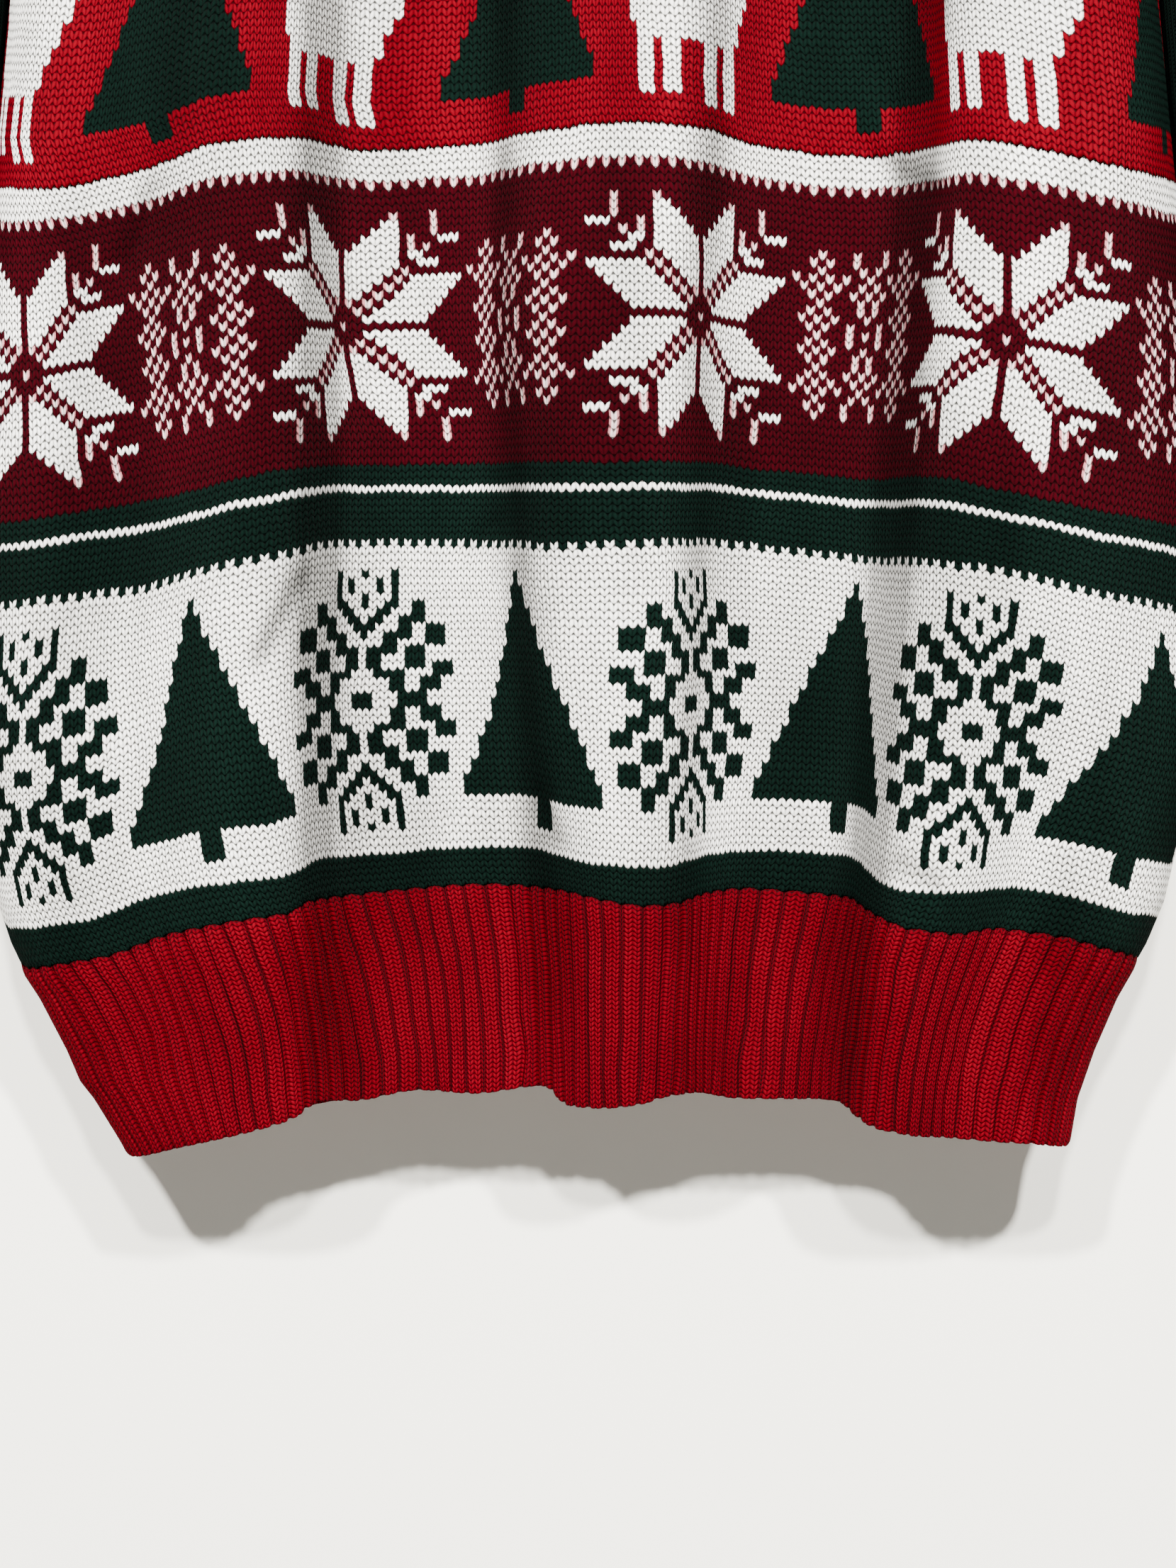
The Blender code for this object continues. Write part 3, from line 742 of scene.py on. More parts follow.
def paint(mesh, columns, outside, uv, face_colours, lining_colour, closed):
    """Stitch and bake coordinates, and yarn colours with painted shade, for every face corner."""
    corner_point = read(mesh.loops, "vertex_index", np.zeros(len(mesh.loops), int))
    sizes = read(mesh.polygons, "loop_total", np.zeros(len(mesh.polygons), int))
    corner_face = np.repeat(np.arange(len(sizes)), sizes)
    lining = corner_face >= outside
    flat = uv.reshape(-1, 2)
    corner_uv = flat[np.minimum(corner_point, len(flat) - 1)]
    if closed:
        last = ~lining & (corner_face % columns == columns - 1) & (corner_point % columns == 0)
        corner_uv[last, 0] += flat[columns - 1, 0] + flat[1, 0] - 2 * flat[0, 0]
    co = read(mesh.vertices, "co", np.zeros(len(mesh.vertices) * 3)).reshape(-1, 3)
    co = co[corner_point[lining]] / MM
    corner_uv[lining] = np.stack((co[:, 0] / STITCH, co[:, 2] / ROW), axis=-1)
    mesh.uv_layers.new(name="stitch").data.foreach_set("uv", corner_uv.ravel())
    low, high = corner_uv.min(axis=0), corner_uv.max(axis=0)
    bake = (corner_uv - low) / (high - low)
    start, width = np.where(lining[:, None], LINING_PART, OUTSIDE_PART).T
    bake[:, 0] = start + width * bake[:, 0]
    mesh.uv_layers.new(name="OFBake").data.foreach_set("uv", bake.ravel())
    colours = np.ones((len(corner_face), 4), np.float32)
    colours[:, :3] = lining_colour
    colours[~lining, :3] = face_colours.reshape(-1, 3)[corner_face[~lining]]
    layer = mesh.color_attributes.new(name="yarn", type="FLOAT_COLOR", domain="CORNER")
    layer.data.foreach_set("color", colours.ravel())


# %% The relief of a column of stitches, and the shade of the inside
BODY_INSIDE, OTHER_INSIDE = 1.2, 0.8  # depth of colour inside, against the yarn's own
QUARTER_RELIEF = np.array([-0.38, 0.16, -0.06, 0.16])  # edge, leg, middle, leg
HALF_RELIEF = np.array([-0.2, 0.1])  # edge, leg


def normals(grid, closed=False):
    up = np.gradient(grid, axis=0)
    if closed:
        along = (np.roll(grid, -1, axis=1) - np.roll(grid, 1, axis=1)) / 2
    else:
        along = np.gradient(grid, axis=1)
    n = np.cross(along, up)
    return n / np.maximum(np.linalg.norm(n, axis=-1, keepdims=True), 1e-9)


def outwards(grid, side):
    """Normals of a panel that point away from the other panel."""
    n = normals(grid)
    return np.where(n[..., 1:2] * side < 0, -n, n)


def inwards(n, plain, shoulder=False):
    """Outward directions for the inner skin, kept off the other panel along seams."""
    n = n.copy()
    near = np.abs(plain[..., 1:2]) < NEAR_SEAM
    for column in (0, -1):
        n[:, column] = np.where(near[:, column], (np.sign(plain[0, column, 0]), 0, 0), n[:, column])
    if shoulder:
        n[-1] = np.where((np.abs(plain[-1, :, :1]) > NECK_HALF) & near[-1], (0, 0, 1), n[-1])
    return n


def thin_out(count, step):
    """About one in so many of the numbers up to count, with the first and the last."""
    return np.unique(np.linspace(0, count - 1, count // step + 2).astype(int))


def stitch_map(u, v):
    """Stitch coordinates of a grid of points: columns and rows."""
    return np.stack((np.broadcast_to(u, v.shape), v), axis=-1)


def climb(u):
    """Rows by which a leg has climbed at a place across its stitch."""
    return LEG_RISE * np.abs(2 * (u - np.floor(u)) - 1) - LEG_START


print("stitches", STITCH, "mm wide and rows", ROW, "mm high; relief (mm):", QUARTER_RELIEF.tolist())

# %% [markdown]
# ## The body panels
#
# Rows are level up to the top of the pattern.  Above it the yoke is plain, and its rows close up
# towards the sloping shoulders and the neck.  The front hangs unevenly.  One table says where some
# of its columns lie along the folded rows, another how high some of its rows hang.

# %% How the rows and columns lie
# Columns of the front, counted from the middle, whose places are given.
LAY_COLUMNS = (-105, -87, -80.5, -73, -61.5, -50, -42.5, -36.5, -30.5, -23, -11.5, 0, 7.5, 13.5,
               19.5, 27, 38.5, 50, 57.5, 63.5, 69.5, 77, 88.5, 105)
# For a row: the share of the folded row that each of those columns has come to.
FRONT_COLUMNS = {
    12: (0, .083, .111, .144, .197, .257, .295, .327, .356, .390, .456, .503, .542, .574, .594,
         .622, .683, .720, .755, .790, .812, .835, .905, 1),
    26: (0, .084, .114, .149, .197, .255, .297, .326, .357, .392, .444, .503, .542, .572, .597,
         .628, .681, .725, .760, .790, .813, .848, .920, 1),
    42: (0, .093, .122, .150, .193, .257, .301, .331, .358, .387, .434, .502, .546, .569, .592,
         .629, .688, .734, .764, .792, .823, .860, .917, 1),
    61: (0, .097, .129, .161, .204, .254, .303, .331, .357, .397, .445, .496, .543, .571, .597,
         .634, .685, .734, .765, .795, .829, .870, .925, 1),
    76: (0, .092, .120, .148, .188, .251, .289, .311, .352, .388, .432, .500, .541, .576, .603,
         .636, .695, .750, .774, .810, .840, .883, .939, 1),
    90: (0, .083, .110, .138, .183, .234, .273, .309, .346, .384, .441, .499, .541, .577, .610,
         .643, .706, .762, .784, .815, .854, .897, .943, 1),
    104: (0, .050, .074, .112, .153, .218, .246, .281, .321, .371, .441, .497, .529, .566, .608,
          .639, .704, .768, .785, .814, .853, .911, .954, 1),
}
LAY_SHARES = (0, .05, .1, .15, .2, .235, .255, .28, .32, .38, .44, .47, .5, .53, .56, .59, .63, .68,
              .70, .72, .745, .77, .8, .83, .87, .92, 1)
# For a row: its height above the hem at each of those shares of the folded row.
FRONT_ROWS = {
    0: (65.4, 61.5, 62.1, 67.2, 69.3, 69.9, 72.8, 73.2, 73.3, 73.8, 72.5, 71.4, 68.1, 66.1, 67.2,
        70.5, 72.9, 72.8, 72.7, 70.0, 67.2, 64.9, 64.9, 68.6, 68.8, 66.9, 65.4),
    6: (81.6, 75.5, 74.9, 80.4, 82.4, 82.3, 84.2, 87.1, 86.8, 87.1, 86.4, 83.7, 80.6, 79.5, 80.8,
        84.2, 86.4, 87.3, 86.6, 82.5, 78.4, 77.6, 79.5, 82.8, 82.4, 80.0, 80.5),
    26: (134.3, 126.0, 124.0, 129.0, 134.0, 134.9, 136.5, 139.2, 140.0, 139.6, 138.1, 135.7, 134.3,
         134.0, 135.4, 137.7, 138.4, 138.0, 137.3, 134.9, 132.7, 132.0, 132.7, 133.5, 132.0,
         130.6, 132.3),
    46: (187.0, 183.0, 181.1, 181.5, 185.6, 187.5, 188.8, 191.2, 193.3, 192.0, 189.8, 187.7, 187.9,
         188.6, 189.9, 191.1, 190.4, 188.7, 187.9, 187.2, 186.9, 186.3, 185.9, 184.2, 181.6,
         181.1, 184.0),
    58: (218.0, 212.5, 209.9, 211.8, 214.1, 216.7, 218.2, 219.8, 221.5, 220.6, 218.9, 217.8, 217.2,
         217.6, 218.4, 219.7, 218.7, 217.5, 217.0, 216.7, 216.7, 216.0, 213.5, 212.2, 210.4,
         209.8, 214.0),
    98: (328.0, 322.0, 318.0, 322.8, 328.3, 328.8, 329.6, 330.0, 330.0, 331.3, 330.8, 331.1, 333.0,
         333.2, 333.3, 333.6, 331.3, 328.9, 328.9, 328.8, 328.0, 327.8, 329.0, 327.8, 325.6,
         324.1, 327.0),
}
# Height of the lower edge at those shares, above or below the level of the hem.
HEM_LINE = {
    FRONT: (-2.0, -3.0, -2.0, -0.7, 1.7, 5.8, 4.7, 3.3, 4.6, 1.6, 3.8, -2.4, -3.2, -1.8, 1.5, 2.4,
            0.6, 2.1, 3.2, 3.8, 0.2, -2.6, -2.9, -1.7, -0.6, 0.7, 0.9),
    BACK: (0,) * len(LAY_SHARES),
}
BACK_SIDE_SAG = 6.0  # how far the back's rows sag at the sides
SCALLOP = 0.42  # rows that the middle of a rib's top stands above its grooves
YOKE_ROWS = 78
TOP_EASE = 0.25  # how much closer the yoke's rows lie at the top


def cubic(t, a, b, slope_a, slope_b):
    """The smooth curve from a to b, with these slopes at its ends, as t goes from 0 to 1."""
    return ((2 * t**3 - 3 * t**2 + 1) * a + (t**3 - 2 * t**2 + t) * slope_a
            + (3 * t**2 - 2 * t**3) * b + (t**3 - t**2) * slope_b)


def smooth_curve(x, y, at):
    """A smooth curve through points that never turns back between them."""
    x, y = np.asarray(x, float), np.asarray(y, float)
    gap = np.diff(x)
    slope = np.diff(y) / gap
    a, b = slope[1:], slope[:-1]
    middle = np.where(a * b > 0, 2 * a * b / (a + b + 1e-12), 0)
    tangent = np.concatenate((slope[:1], middle, slope[-1:]))
    k = span_at(x, at)
    return cubic((at - x[k]) / gap[k], y[k], y[k + 1], gap[k] * tangent[k], gap[k] * tangent[k + 1])


def between_rows(tables, v, places, at):
    """Read row tables at rows v (an array) and places across (an array of the same shape)."""
    knots = np.array(list(tables), float)
    values = np.array([smooth_curve(places, table, at) for table in tables.values()])
    k = span_at(knots, v)
    f = np.clip((v - knots[k]) / (knots[k + 1] - knots[k]), 0, 1)
    low, high = (np.take_along_axis(values, k[None] + i, 0)[0] for i in (0, 1))
    return low * (1 - f) + high * f


# %% [markdown]
# No knitting is quite even, so by chance every stitch strays a little from its place.  Folds and
# creases also show in the yarn's colour, because little light gets into them.  A white stitch
# alone between maroon ones sinks in, and its edges take on their colour.

# %% Uneven stitches and shades
UNEVEN_ROWS = 280  # more than any panel has
STRAY = np.array((0.055, 0.075))  # in columns and in rows
FLANK_SHADE = 0.68
STEEP = 1.5  # slope of a flank that has the full shade
SHADE_POWER = 2.2  # higher: only the steepest flanks are dark
CREASE_SHADE = 0.6
SHADE_SHOWS = np.array([1.0, 0.3, 0.35, 0.32])  # pale yarn shows the shade of a fold the most
PINK = np.array((0.34, 0.012, 0.036))  # light that maroon yarn throws on a white stitch
SUNK = np.array((0.82, 0.40, 0.40, 0.82))  # how much of it each quarter of the stitch takes


def unevenness(side):
    """Smooth small wanderings of the stitches, in columns and rows, for every row and column."""
    chance = np.random.default_rng(7 + side)
    wild = chance.normal(0, 1, (2, UNEVEN_ROWS, COLUMNS + 1))
    below = np.roll(wild, 1, axis=1)
    near = (wild + below + np.roll(wild, 1, axis=2) + np.roll(below, 1, axis=2)) / 2
    return near * STRAY[:, None, None]


UNEVEN = {side: unevenness(side) for side in (FRONT, BACK)}


def wander(u, rows, side):
    """Read the unevenness at columns u for a list of rows."""
    at = np.clip(u + MIDDLE, 0, COLUMNS)
    knots = np.arange(COLUMNS + 1)
    return np.array([[np.interp(at, knots, table[r]) for r in rows] for table in UNEVEN[side]])


def fold_shade(grid, side):
    """Less light reaches the flanks of the folds and the creases: one value for each face."""
    middle = (grid[:-1, :-1] + grid[1:, 1:]) / 2
    x, height = middle[..., 0], middle[..., 2] - Z_HEM
    slope = (fold_depth(x + 1, height, side) - fold_depth(x - 1, height, side)) / 2
    dim = 1 - FLANK_SHADE * np.clip(np.abs(slope) / STEEP, 0, 1) ** SHADE_POWER
    return dim * (1 - CREASE_SHADE * crease_depth(x, height, CREASES[side])[1])


def lone_whites(chart):
    """Which white stitches stand alone between two maroon ones."""
    left, right = np.roll(chart, 1, axis=1), np.roll(chart, -1, axis=1)
    return (chart == WHITE) & (left == MAROON) & (right == MAROON)


furthest = np.abs(UNEVEN[FRONT][0]).max() * STITCH
print("stitches stray sideways by up to", round(float(furthest), 2), "mm;",
      int(lone_whites(CHART).sum()), "white ones stand alone")

# %% Panels


def column_share(u, v, side):
    """Share of the folded row at which column u lies in row v."""
    if side == BACK:
        return (u + COLUMNS / 2) / COLUMNS
    return between_rows(FRONT_COLUMNS, v, LAY_COLUMNS, u)


def row_height(share, v, side):
    """Height above the hem line of row v at a share of the folded row."""
    if side == BACK:
        return RIB_HEIGHT + SEAM + v * ROW - BACK_SIDE_SAG * np.abs(2 * share - 1) ** 6
    height = between_rows(FRONT_ROWS, v, LAY_SHARES, share)
    return height + np.maximum(v - max(FRONT_ROWS), 0) * ROW


def scallop(u):
    """Rows by which each rib rounds up into the cloth above it."""
    return SCALLOP * np.abs(np.sin(math.pi * (u + 0.5) / 3)) ** 0.6


def panel_grid(first, last, per_stitch, side):
    """Columns, shares, rows and heights of a panel's points; last None is the top."""
    u = np.arange(COLUMNS * per_stitch + 1) / per_stitch - MIDDLE
    rows = np.arange(first, (last or PATTERN_ROWS) + 1)
    v = rows[:, None] + climb(u)
    sideways, upwards = wander(u, rows, side)
    if first == 0:
        v[0] = scallop(u)
        sideways[0] = upwards[0] = 0
    lay = np.clip(u + sideways, -COLUMNS / 2, COLUMNS / 2)
    lay[:, [0, -1]] = u[[0, -1]]
    share = column_share(lay, v, side)
    z = Z_HEM + row_height(share, v + upwards, side)
    if last is None:
        even = (u + COLUMNS / 2) / COLUMNS
        more = np.arange(1, YOKE_ROWS + 1)[:, None]
        steps = more / YOKE_ROWS
        steps = steps + TOP_EASE * steps * (1 - steps)
        share_top = share[-1] + (even - share[-1]) * smooth_step(steps)
        z = np.concatenate((z, z[-1] + (panel_top(share_top, side) - z[-1]) * steps))
        v = np.concatenate((v, v[-1] + more))
        share = np.concatenate((share, share_top))
    return u, share, v, z


def body_panel(name, side, first, last, per_stitch):
    u, share, v, z = panel_grid(first, last, per_stitch, side)
    plain = place(share, z, side)
    rise = np.resize(QUARTER_RELIEF if per_stitch == 4 else HALF_RELIEF, len(u))
    n = outwards(plain, side)
    # On a flank, stitches are squeezed in the view, so they're made to stand out less there.
    outer = plain + n * (rise * (0.25 + 0.75 * n[..., 1] ** 2))[..., None]
    pick = np.ix_(thin_out(len(z), 5), np.arange(0, len(u), per_stitch * 3))
    inner = plain[pick] - inwards(n[pick], plain[pick], last is None) * CLOTH
    uv = stitch_map(u + COLUMNS, v)
    rows = CHART[first:first + len(z) - 1]
    chart = np.repeat(rows, per_stitch, axis=1)
    sunk = np.resize(SUNK if per_stitch == 4 else SUNK[::2], len(u) - 1)
    lone = np.repeat(lone_whites(rows), per_stitch, axis=1) * sunk
    if side == BACK:
        uv[..., 0] = 2 * COLUMNS - uv[..., 0]
        chart, lone = chart[:, ::-1], lone[:, ::-1]
    lone = lone[..., None]
    dim = fold_shade(plain, side) ** SHADE_SHOWS[chart]
    colours = (YARNS[chart] * (1 - lone) + PINK * lone) * dim[..., None]
    return cloth_wall(name, outer, inner, uv, colours, YARNS[GREEN] * BODY_INSIDE)


front_low = body_panel("front_pattern", FRONT, 0, RED_BAND, 4)
front_red = body_panel("front_reindeer", FRONT, RED_BAND, PATTERN_ROWS, 4)
front_top = body_panel("front_yoke", FRONT, PATTERN_ROWS, None, 2)
back_all = body_panel("back_knit", BACK, 0, None, 2)
for made in (front_low, front_red, front_top, back_all):
    print(made.name, len(made.data.polygons), "faces")

# %% [markdown]
# ## Ribs
#
# Two columns of plain stitches stand up and one column lies in the groove between.  The ribs fade
# at the seam, where the wider cloth above is gathered in, and round off at the lower edge.  Each
# rib sways a little to the sides and has a tint of its own.

# %% Ribs round the hem
# Height and shade across one rib and its groove, in twelve steps.
RIB_RELIEF = np.array([-0.2, 0.6, 0.8, 0.85, 0.45, 0.85, 0.8, 0.6, -0.2, -1.0, -1.25, -1.0])
RIB_SHADE = np.array([0.95, 1.0, 1.0, 1.0, 0.86, 1.0, 1.0, 0.95, 0.86, 0.74, 0.74, 0.86])
RIB_PAINTED_SHADE = 0.98  # painted shade: ribs shade each other, so they're a little darker
HEM_ROWS = 44
INNER_LINES = (0, 3, 10, 18, 27, 36, -1)  # lines of points that the inside keeps
ROUNDING = (0.2, 0.5)  # rows above the edge of two more lines of points, which round it off
SEAM_FADE, SEAM_DIP = 4.5, 0.5  # height over which the ribs fade at the seam, and how deep it lies
EDGE_FADE, EDGE_DIP = 2.2, 0.8  # the same for the lower edge
END_HEIGHT, END_DIP = 8, 0.4  # a rib's end hangs lower than the grooves beside it
GULLY = 0.5  # width that the groove's column keeps
RIB_SWAY = 0.22  # columns by which a rib wanders sideways
RIB_TINT = 0.06  # how much the ribs differ in depth of colour


def drawn_in(u):
    """Places of the columns once the ribs have drawn in: wide ribs, narrow grooves."""
    group = np.floor(u / 3) * 3
    s = u - group
    wide = (3 - GULLY) / 2
    return group + np.where(s < 2, wide * s - (wide - 1), 2 + wide - 1 + GULLY * (s - 2))


def rib_sway(rows, at, side):
    """Sideways wander of the ribs in columns, and their tint, at rib numbers."""
    chance = np.random.default_rng(21 + side)
    ribs = np.arange(COLUMNS // 3 + 1)
    knots = chance.normal(0, RIB_SWAY, (6, len(ribs)))
    knots[-1] = 0
    knots[:, [0, -1]] = 0
    steps = np.linspace(0, len(knots) - 1, rows)
    table = np.array([np.interp(steps, np.arange(len(knots)), knots[:, rib]) for rib in ribs])
    sway = np.array([np.interp(at, ribs, row) for row in table.T])
    return sway, 1 + chance.normal(0, RIB_TINT, len(ribs))[np.floor(at).astype(int)]


def rib_shade(count, rows, profile=RIB_SHADE):
    return np.tile(np.resize(profile, count), (rows, 1))


def hem(name, side):
    u = np.arange(COLUMNS * 4 + 1) / 4 - MIDDLE
    lay = drawn_in(u)
    lay[[0, -1]] = u[[0, -1]]
    rows = np.arange(-HEM_ROWS, 1.0)
    v = rows[:, None] + climb(u)
    v[[0, -1]] = rows[[0, -1], None]
    for line, above in enumerate(ROUNDING):
        v = np.insert(v, line + 1, above - HEM_ROWS, axis=0)
    sway, tint = rib_sway(len(v), (u + COLUMNS / 2) / 3, side)
    share = column_share(lay + sway, v * 0, side)
    top = row_height(share, v * 0, side) - SEAM + scallop(lay) * ROW
    low = smooth_curve(LAY_SHARES, HEM_LINE[side], share)
    height = low + (top - low) * (1 + v / HEM_ROWS)
    plain = place(share, Z_HEM + height, side)
    n = outwards(plain, side)
    rise = np.resize(RIB_RELIEF, len(u))
    level = np.clip((top - height) / SEAM_FADE, 0, 1) ** 0.5
    edge = np.clip((height - low) / EDGE_FADE, 0, 1)
    relief = rise * level - SEAM_DIP * (1 - level) - EDGE_DIP * (1 - edge) ** 2
    outer = plain + n * relief[..., None]
    outer[..., 2] -= END_DIP * rise * np.clip(1 - (height - low) / END_HEIGHT, 0, 1)
    coarse = plain[INNER_LINES, ::4]
    m = inwards(n[INNER_LINES, ::4], coarse)
    inner = coarse - m * CLOTH
    inner[0] += m[0] * 0.6  # the inside rounds off at the edge too
    uv = stitch_map(u + COLUMNS, v + HEM_ROWS)
    shade = rib_shade(len(u) - 1, len(v) - 1) * tint[:-1]
    shade[-1] *= 0.8  # the seam lies in shade
    shade *= fold_shade(plain, side) ** SHADE_SHOWS[RED]
    # Painted shade of the grooves, the seam and the folds goes into the ribs' colour.
    colours = YARNS[RED] * shade[..., None] * RIB_PAINTED_SHADE
    inside = YARNS[RED] * OTHER_INSIDE
    return cloth_wall(name, outer, inner, uv, colours, inside, material=RIBBED)


hem_front = hem("hem_front", FRONT)
hem_back = hem("hem_back", BACK)
print("hem ribs:", COLUMNS // 3, "on each panel")

# %% [markdown]
# ## Sleeves, cuffs and neckband
#
# A sleeve is a tube of slanting rings that starts on the armhole's edge and hangs down beside the
# body.  Rings between the named ones are blended, so that the tube is smooth, and creases are
# pressed into it at the armhole and along its length.

# %% Sleeve rings
# Columns: top x, top z, bottom x, bottom z, half depth, middle y.
SLEEVE_RINGS = np.array([
    (SHOULDER_HALF, Z_SHOULDER, 197.06, Z_UNDERARM, ARMHOLE_HALF_DEPTH, 0),
    (249, -149, 198.6, -371, 34, 1), (267, -172, 199.4, -378, 39, 3),
    (280, -207, 200.4, -388, 43, 5), (289, -256, 201.8, -402, 46, 7),
    (294, -318, 204.2, -426, 48, 9), (296, -390, 209.0, -462, 48, 10),
    (296, -468, 215.5, -508, 46, 11), (294, -545, 220, -562, 43, 11),
    (290, -606, 226, -611, 38, 11), (285, -636, 232, -636, 32, 11),
])
SLEEVE_STITCHES = 92
SLEEVE_ROWS = 150
SLEEVE_CREASE_SHADE = 0.3
WAY_ROUND, WAY_DOWN = 300, 470  # how the creases' places are counted
# Creases run from a place to another: way round the tube from the inner side over the front (to
# 150) and on over the back (to 300), and way down from the shoulder; then width and depth.
SLEEVE_CREASES = (
    (14, 52, 74, 104, 10, 3.0), (10, 92, 58, 126, 9, 2.4), (14, 226, 84, 196, 10, 3.2),
    (12, 250, 78, 252, 9, 2.8), (20, 280, 70, 308, 9, 2.2), (72, 300, 92, 430, 12, 3.0),
    (104, 110, 112, 200, 12, 2.4), (110, 250, 122, 360, 12, 2.0),
    (286, 60, 230, 116, 10, 2.8), (286, 214, 222, 190, 10, 3.0), (288, 246, 226, 262, 9, 2.6),
    (216, 290, 202, 416, 12, 3.0), (192, 104, 198, 206, 12, 2.4),
)


def blend_rings(rings, count):
    """Smoothly blended rings, evenly spaced along the tube."""
    middle = (rings[:, 0:2] + rings[:, 2:4]) / 2
    run = np.concatenate(([0], np.cumsum(np.hypot(*np.diff(middle, axis=0).T))))
    at = np.linspace(0, run[-1], count)
    knot = span_at(run, at)
    span = (run[knot + 1] - run[knot])[:, None]
    slope = np.gradient(rings, run, axis=0)
    t = (at - run[knot])[:, None] / span
    return cubic(t, rings[knot], rings[knot + 1], slope[knot] * span, slope[knot + 1] * span)


def tube_wall(name, rings, v, per_stitch, relief, colour, shade):
    """A closed tube of cloth from rings of points."""
    n = normals(rings, closed=True)
    n = n * np.sign(np.sum(n * (rings - rings.mean(axis=1, keepdims=True)), axis=-1, keepdims=True))
    outer = rings + n * relief[..., None]
    inner = (rings - n * CLOTH)[thin_out(len(rings), 3), :: per_stitch * 2]
    uv = stitch_map(np.arange(rings.shape[1]) / per_stitch, v)
    colours = YARNS[colour] * shade[..., None]
    inside = YARNS[colour] * OTHER_INSIDE
    yarn = RIBBED if colour == RED else KNIT
    return cloth_wall(name, outer, inner, uv, colours, inside, closed=True, material=yarn)


def turns(count):
    return 2 * math.pi * np.arange(count) / count


def sleeve(name, mirror):
    count = SLEEVE_STITCHES * 2
    rings = blend_rings(SLEEVE_RINGS, SLEEVE_ROWS + 1)
    angle = turns(count)
    up = 0.5 - 0.5 * np.cos(angle)
    x = rings[:, 2:3] + (rings[:, 0:1] - rings[:, 2:3]) * up
    z = rings[:, 3:4] + (rings[:, 1:2] - rings[:, 3:4]) * up
    way_round = np.broadcast_to(angle * WAY_ROUND / (2 * math.pi), x.shape)
    way_down = np.broadcast_to(np.linspace(0, WAY_DOWN, SLEEVE_ROWS + 1)[:, None], x.shape)
    dent, strength = crease_depth(way_round, way_down, SLEEVE_CREASES)
    y = rings[:, 5:6] - (rings[:, 4:5] - dent) * np.sin(angle)
    grid = np.stack((mirror * x, y, z), axis=-1)
    lift = climb(np.arange(count) / 2)
    zig = np.gradient(grid, axis=0) * -lift[:, None]
    zig[0] = zig[-1] = 0
    v = lift - np.arange(SLEEVE_ROWS + 1)[:, None]
    relief = np.broadcast_to(np.resize(HALF_RELIEF, count), v.shape)
    shade = 1 - SLEEVE_CREASE_SHADE * strength[:-1]
    return tube_wall(name, grid + zig, v, 2, relief, GREEN, shade)


# %% Cuffs
# Columns: z, half width, half depth.
CUFF_RINGS = np.array([(-636.4, 26.5, 32), (-650, 25, 30), (-674, 24, 28.5), (-698, 24.5, 29)])
CUFF_MIDDLE = (258.5, 11)
CUFF_FADE = 2.5  # height over which the ribs fade at both ends
CUFF_RIBS = 26
CUFF_ROWS = 23
SMALL_RIBS = 0.8  # how high the ribs of cuffs and neckband are against the hem's


def cuff(name, mirror):
    count = CUFF_RIBS * 12
    start, end = CUFF_RINGS[[0, -1], 0]
    z = np.linspace(start, end, CUFF_ROWS)[:, None]
    half_width, half_depth = (np.interp(-z, -CUFF_RINGS[:, 0], CUFF_RINGS[:, k]) for k in (1, 2))
    x = CUFF_MIDDLE[0] + half_width * np.cos(turns(count))
    y = CUFF_MIDDLE[1] + half_depth * np.sin(turns(count))
    grid = np.stack((mirror * x, y, np.broadcast_to(z, x.shape)), axis=-1)
    fade = np.clip(np.minimum(start - z, z - end) / CUFF_FADE, 0, 1) ** 0.5
    relief = np.resize(RIB_RELIEF, count) * SMALL_RIBS * fade - SEAM_DIP * (1 - fade)
    v = np.broadcast_to(-np.arange(CUFF_ROWS)[:, None], x.shape)
    return tube_wall(name, grid, v, 4, relief, RED, rib_shade(count, CUFF_ROWS - 1))


sleeves = [sleeve("sleeve_knit_left", -1), sleeve("sleeve_knit_right", 1)]
cuffs = [cuff("cuff_rib_left", -1), cuff("cuff_rib_right", 1)]
print("sleeve faces", len(sleeves[0].data.polygons), "cuff faces", len(cuffs[0].data.polygons))

# %% [markdown]
# The neckband follows the neck edge of both panels.  Its upper edge lies in towards the middle.

# %% Neckband
NECK_RIBS = 66
NECK_ROWS = 10
NECK_PICK = [0, 2, 3, 4, 5, 6, 9, 10]  # its ribs are narrower: eight of the twelve steps
NECK_FADE = 0.12  # share of the height over which its ribs fade at both edges
LEAN_IN = (-0.18, -0.1)  # share of its distance from the middle that the top moves in


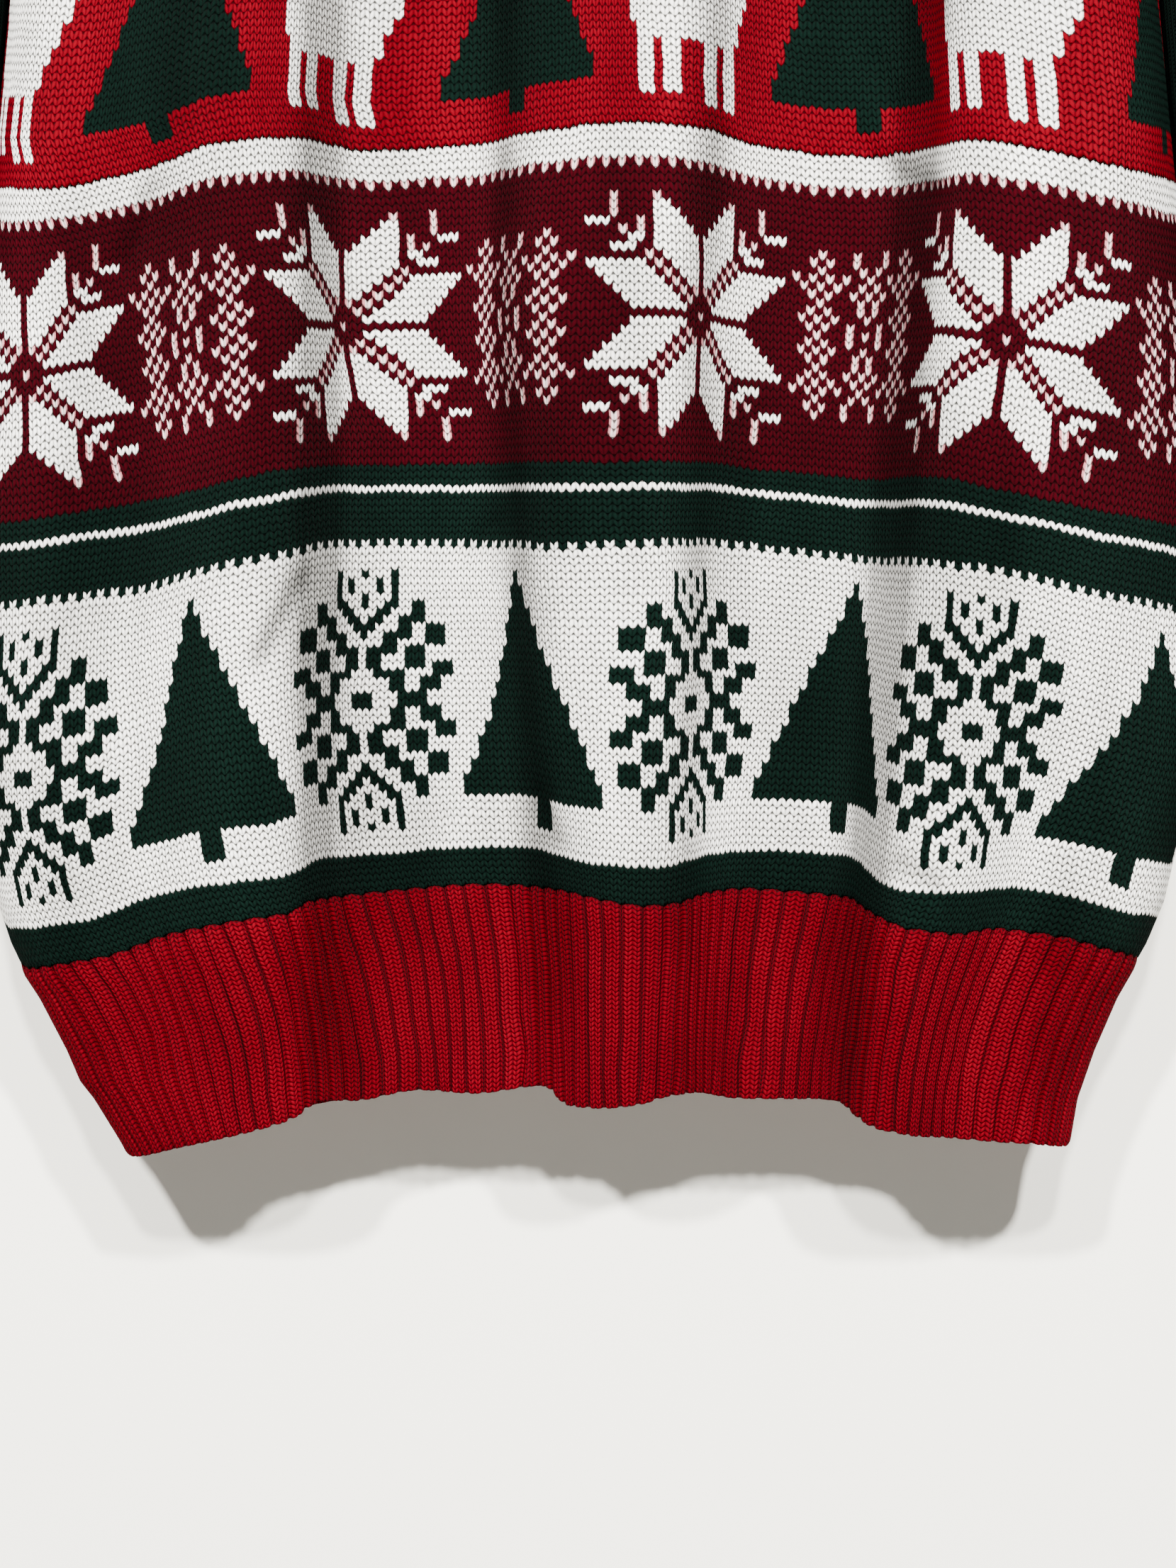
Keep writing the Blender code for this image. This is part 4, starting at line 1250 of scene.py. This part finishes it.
def neckband(name):
    count = NECK_RIBS * len(NECK_PICK)
    line = []
    for side, start, end in ((FRONT, -1, 1), (BACK, 1, -1)):
        share = 0.5 + 0.5 * NECK_SHARE * np.sin(np.linspace(start, end, 400) * math.pi / 2)
        line.append(place(share, panel_top(share, side), side)[:-1])
    line = np.concatenate((*line, line[0][:1]))
    run = np.concatenate(([0], np.cumsum(np.linalg.norm(np.diff(line, axis=0), axis=1))))
    at = np.arange(count) / count * run[-1]
    edge = np.stack([np.interp(at, run, line[:, k]) for k in range(3)], axis=-1)
    rise = NECKBAND_HEIGHT * (1 - 0.5 * np.abs(edge[:, 0] / NECK_HALF) ** 6)
    lean = np.stack((LEAN_IN[0] * edge[:, 0], LEAN_IN[1] * edge[:, 1], rise), axis=-1)
    steps = np.linspace(0.01, 1, NECK_ROWS)[:, None]
    fade = np.clip(np.minimum(steps, 1 - steps) / NECK_FADE, 0, 1) ** 0.5
    relief = np.resize(RIB_RELIEF[NECK_PICK], count) * fade * SMALL_RIBS
    v = np.broadcast_to(np.arange(NECK_ROWS)[:, None], (NECK_ROWS, count))
    shade = rib_shade(count, NECK_ROWS - 1, RIB_SHADE[NECK_PICK])
    return tube_wall(name, edge + lean * steps[..., None], v, 4, relief, RED, shade)


band = neckband("neckband_rib")
print("neckband faces", len(band.data.polygons))

# %% [markdown]
# ## Which solid each piece stands for, and how large its cloth was cut
#
# A sheet's flat size is its stitches times their width and its rows times their height.  Ribs,
# cuffs and neckband are drawn in, so they're stated as wide as they lie.  Where a sheet isn't a
# rectangle, its area is stated too.

FLAT = {
    # piece: (node, width, length, area)
    front_low: ("front_panel", COLUMNS * STITCH, RED_BAND * ROW, None),
    front_red: ("front_panel", COLUMNS * STITCH, (PATTERN_ROWS - RED_BAND) * ROW, None),
    front_top: ("front_panel", COLUMNS * STITCH, 220.0, 0.10),
    back_all: ("back_panel", COLUMNS * STITCH, BODY_LENGTH - RIB_HEIGHT, 0.31),
    hem_front: ("hem_rib_front", 460.0, RIB_HEIGHT, None),
    hem_back: ("hem_rib_back", 460.0, RIB_HEIGHT, None),
    sleeves[0]: ("sleeve_left", 400.0, 470.0, 0.13),
    sleeves[1]: ("sleeve_right", 400.0, 470.0, 0.13),
    cuffs[0]: ("cuff_left", 172.0, 62.0, None),
    cuffs[1]: ("cuff_right", 172.0, 62.0, None),
    band: ("neckband", 460.0, NECKBAND_HEIGHT, None),
}
for piece, (node, width, length, area) in FLAT.items():
    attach(piece, "root")
    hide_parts(node)
triangles = {piece.name: sum(len(f.vertices) - 2 for f in piece.data.polygons) for piece in FLAT}
print(len(FLAT), "pieces of cloth, with triangles:", triangles)

# %% [markdown]
# ## The room
#
# A pale wall stands behind the garment and a pale floor lies far below it.  Three small lamps in
# front, high up, throw clear shadows with soft edges on the wall.  Two large lamps behind light the
# garment's back: the wall throws no shadow, and from behind it lets the view through.

# %% Wall, floor and lamps, in metres
WALL_Y = 0.066
FLOOR_Z = -3.0
WALL_TOP = 2
ROOM = 4  # half the width of the wall and of the floor


def wall_material():
    r = Recipe("pale wall")
    soft = r.noise(r.place(), 2.0, 3.0)
    r.set(Base_Color=(0.97, 0.95, 0.86, 1), Roughness=soft * 0.1 + 0.8)
    behind = r.node("ShaderNodeNewGeometry").out("Backfacing")
    front, clear = Value(r, r.shader.outputs[0]), r.node("ShaderNodeBsdfTransparent")
    mix = r.node("ShaderNodeMixShader", {}, (behind, front, clear))
    r.feed(r.nodes["Material Output"].inputs["Surface"], mix)
    return r.material


def stage_plane(name, corners, material):
    mesh = bpy.data.meshes.new(name)
    mesh.from_pydata(corners, [], [(0, 1, 2, 3)])
    mesh.materials.append(material)
    obj = add_object(name, mesh)
    return obj


upright = [(-ROOM, WALL_Y, FLOOR_Z), (ROOM, WALL_Y, FLOOR_Z), (ROOM, WALL_Y, WALL_TOP),
           (-ROOM, WALL_Y, WALL_TOP)]
level = [(x, y, FLOOR_Z) for x, y in ((-ROOM, -ROOM), (ROOM, -ROOM), (ROOM, ROOM), (-ROOM, ROOM))]
stage_plane("wall", upright, wall_material()).visible_shadow = False
floor_paint = Recipe("pale floor")
floor_paint.set(Base_Color=(0.75, 0.75, 0.74, 1), Roughness=0.8)
stage_plane("floor", level, floor_paint.material)

WARM = (1.0, 0.985, 0.96)
LAMP_AIM = np.array((0, 0, -0.6))
LAMPS = (
    # name, place, size across, watts
    ("lamp_left", (-0.50, -2.0, 0.24), 0.10, 120),
    ("lamp_middle", (0.02, -2.0, 0.14), 0.10, 77),
    ("lamp_right", (0.46, -2.0, 0.26), 0.10, 114),
    ("lamp_back_left", (-1.3, 1.4, 0.45), 0.7, 48),
    ("lamp_back_right", (1.3, 1.4, 0.45), 0.7, 48),
)
for name, where, size, watts in LAMPS:
    data = bpy.data.lights.new(name, "AREA")
    data.shape = "DISK"
    data.size = size
    data.energy = watts
    data.color = WARM
    obj = add_object(name, data)
    obj.location = where
    x, y, z = LAMP_AIM - where
    obj.rotation_euler = (math.atan2(math.hypot(x, y), -z), 0, math.atan2(y, x) - math.pi / 2)
world = bpy.data.worlds.new("soft room light")
bpy.context.scene.world = world
world.use_nodes = True
sky = world.node_tree.nodes["Background"]
sky.inputs["Color"].default_value = (0.96, 0.98, 1.0, 1)
sky.inputs["Strength"].default_value = 0.09
print("a wall, a floor and", len(LAMPS), "lamps of", [lamp[-1] for lamp in LAMPS], "watts")
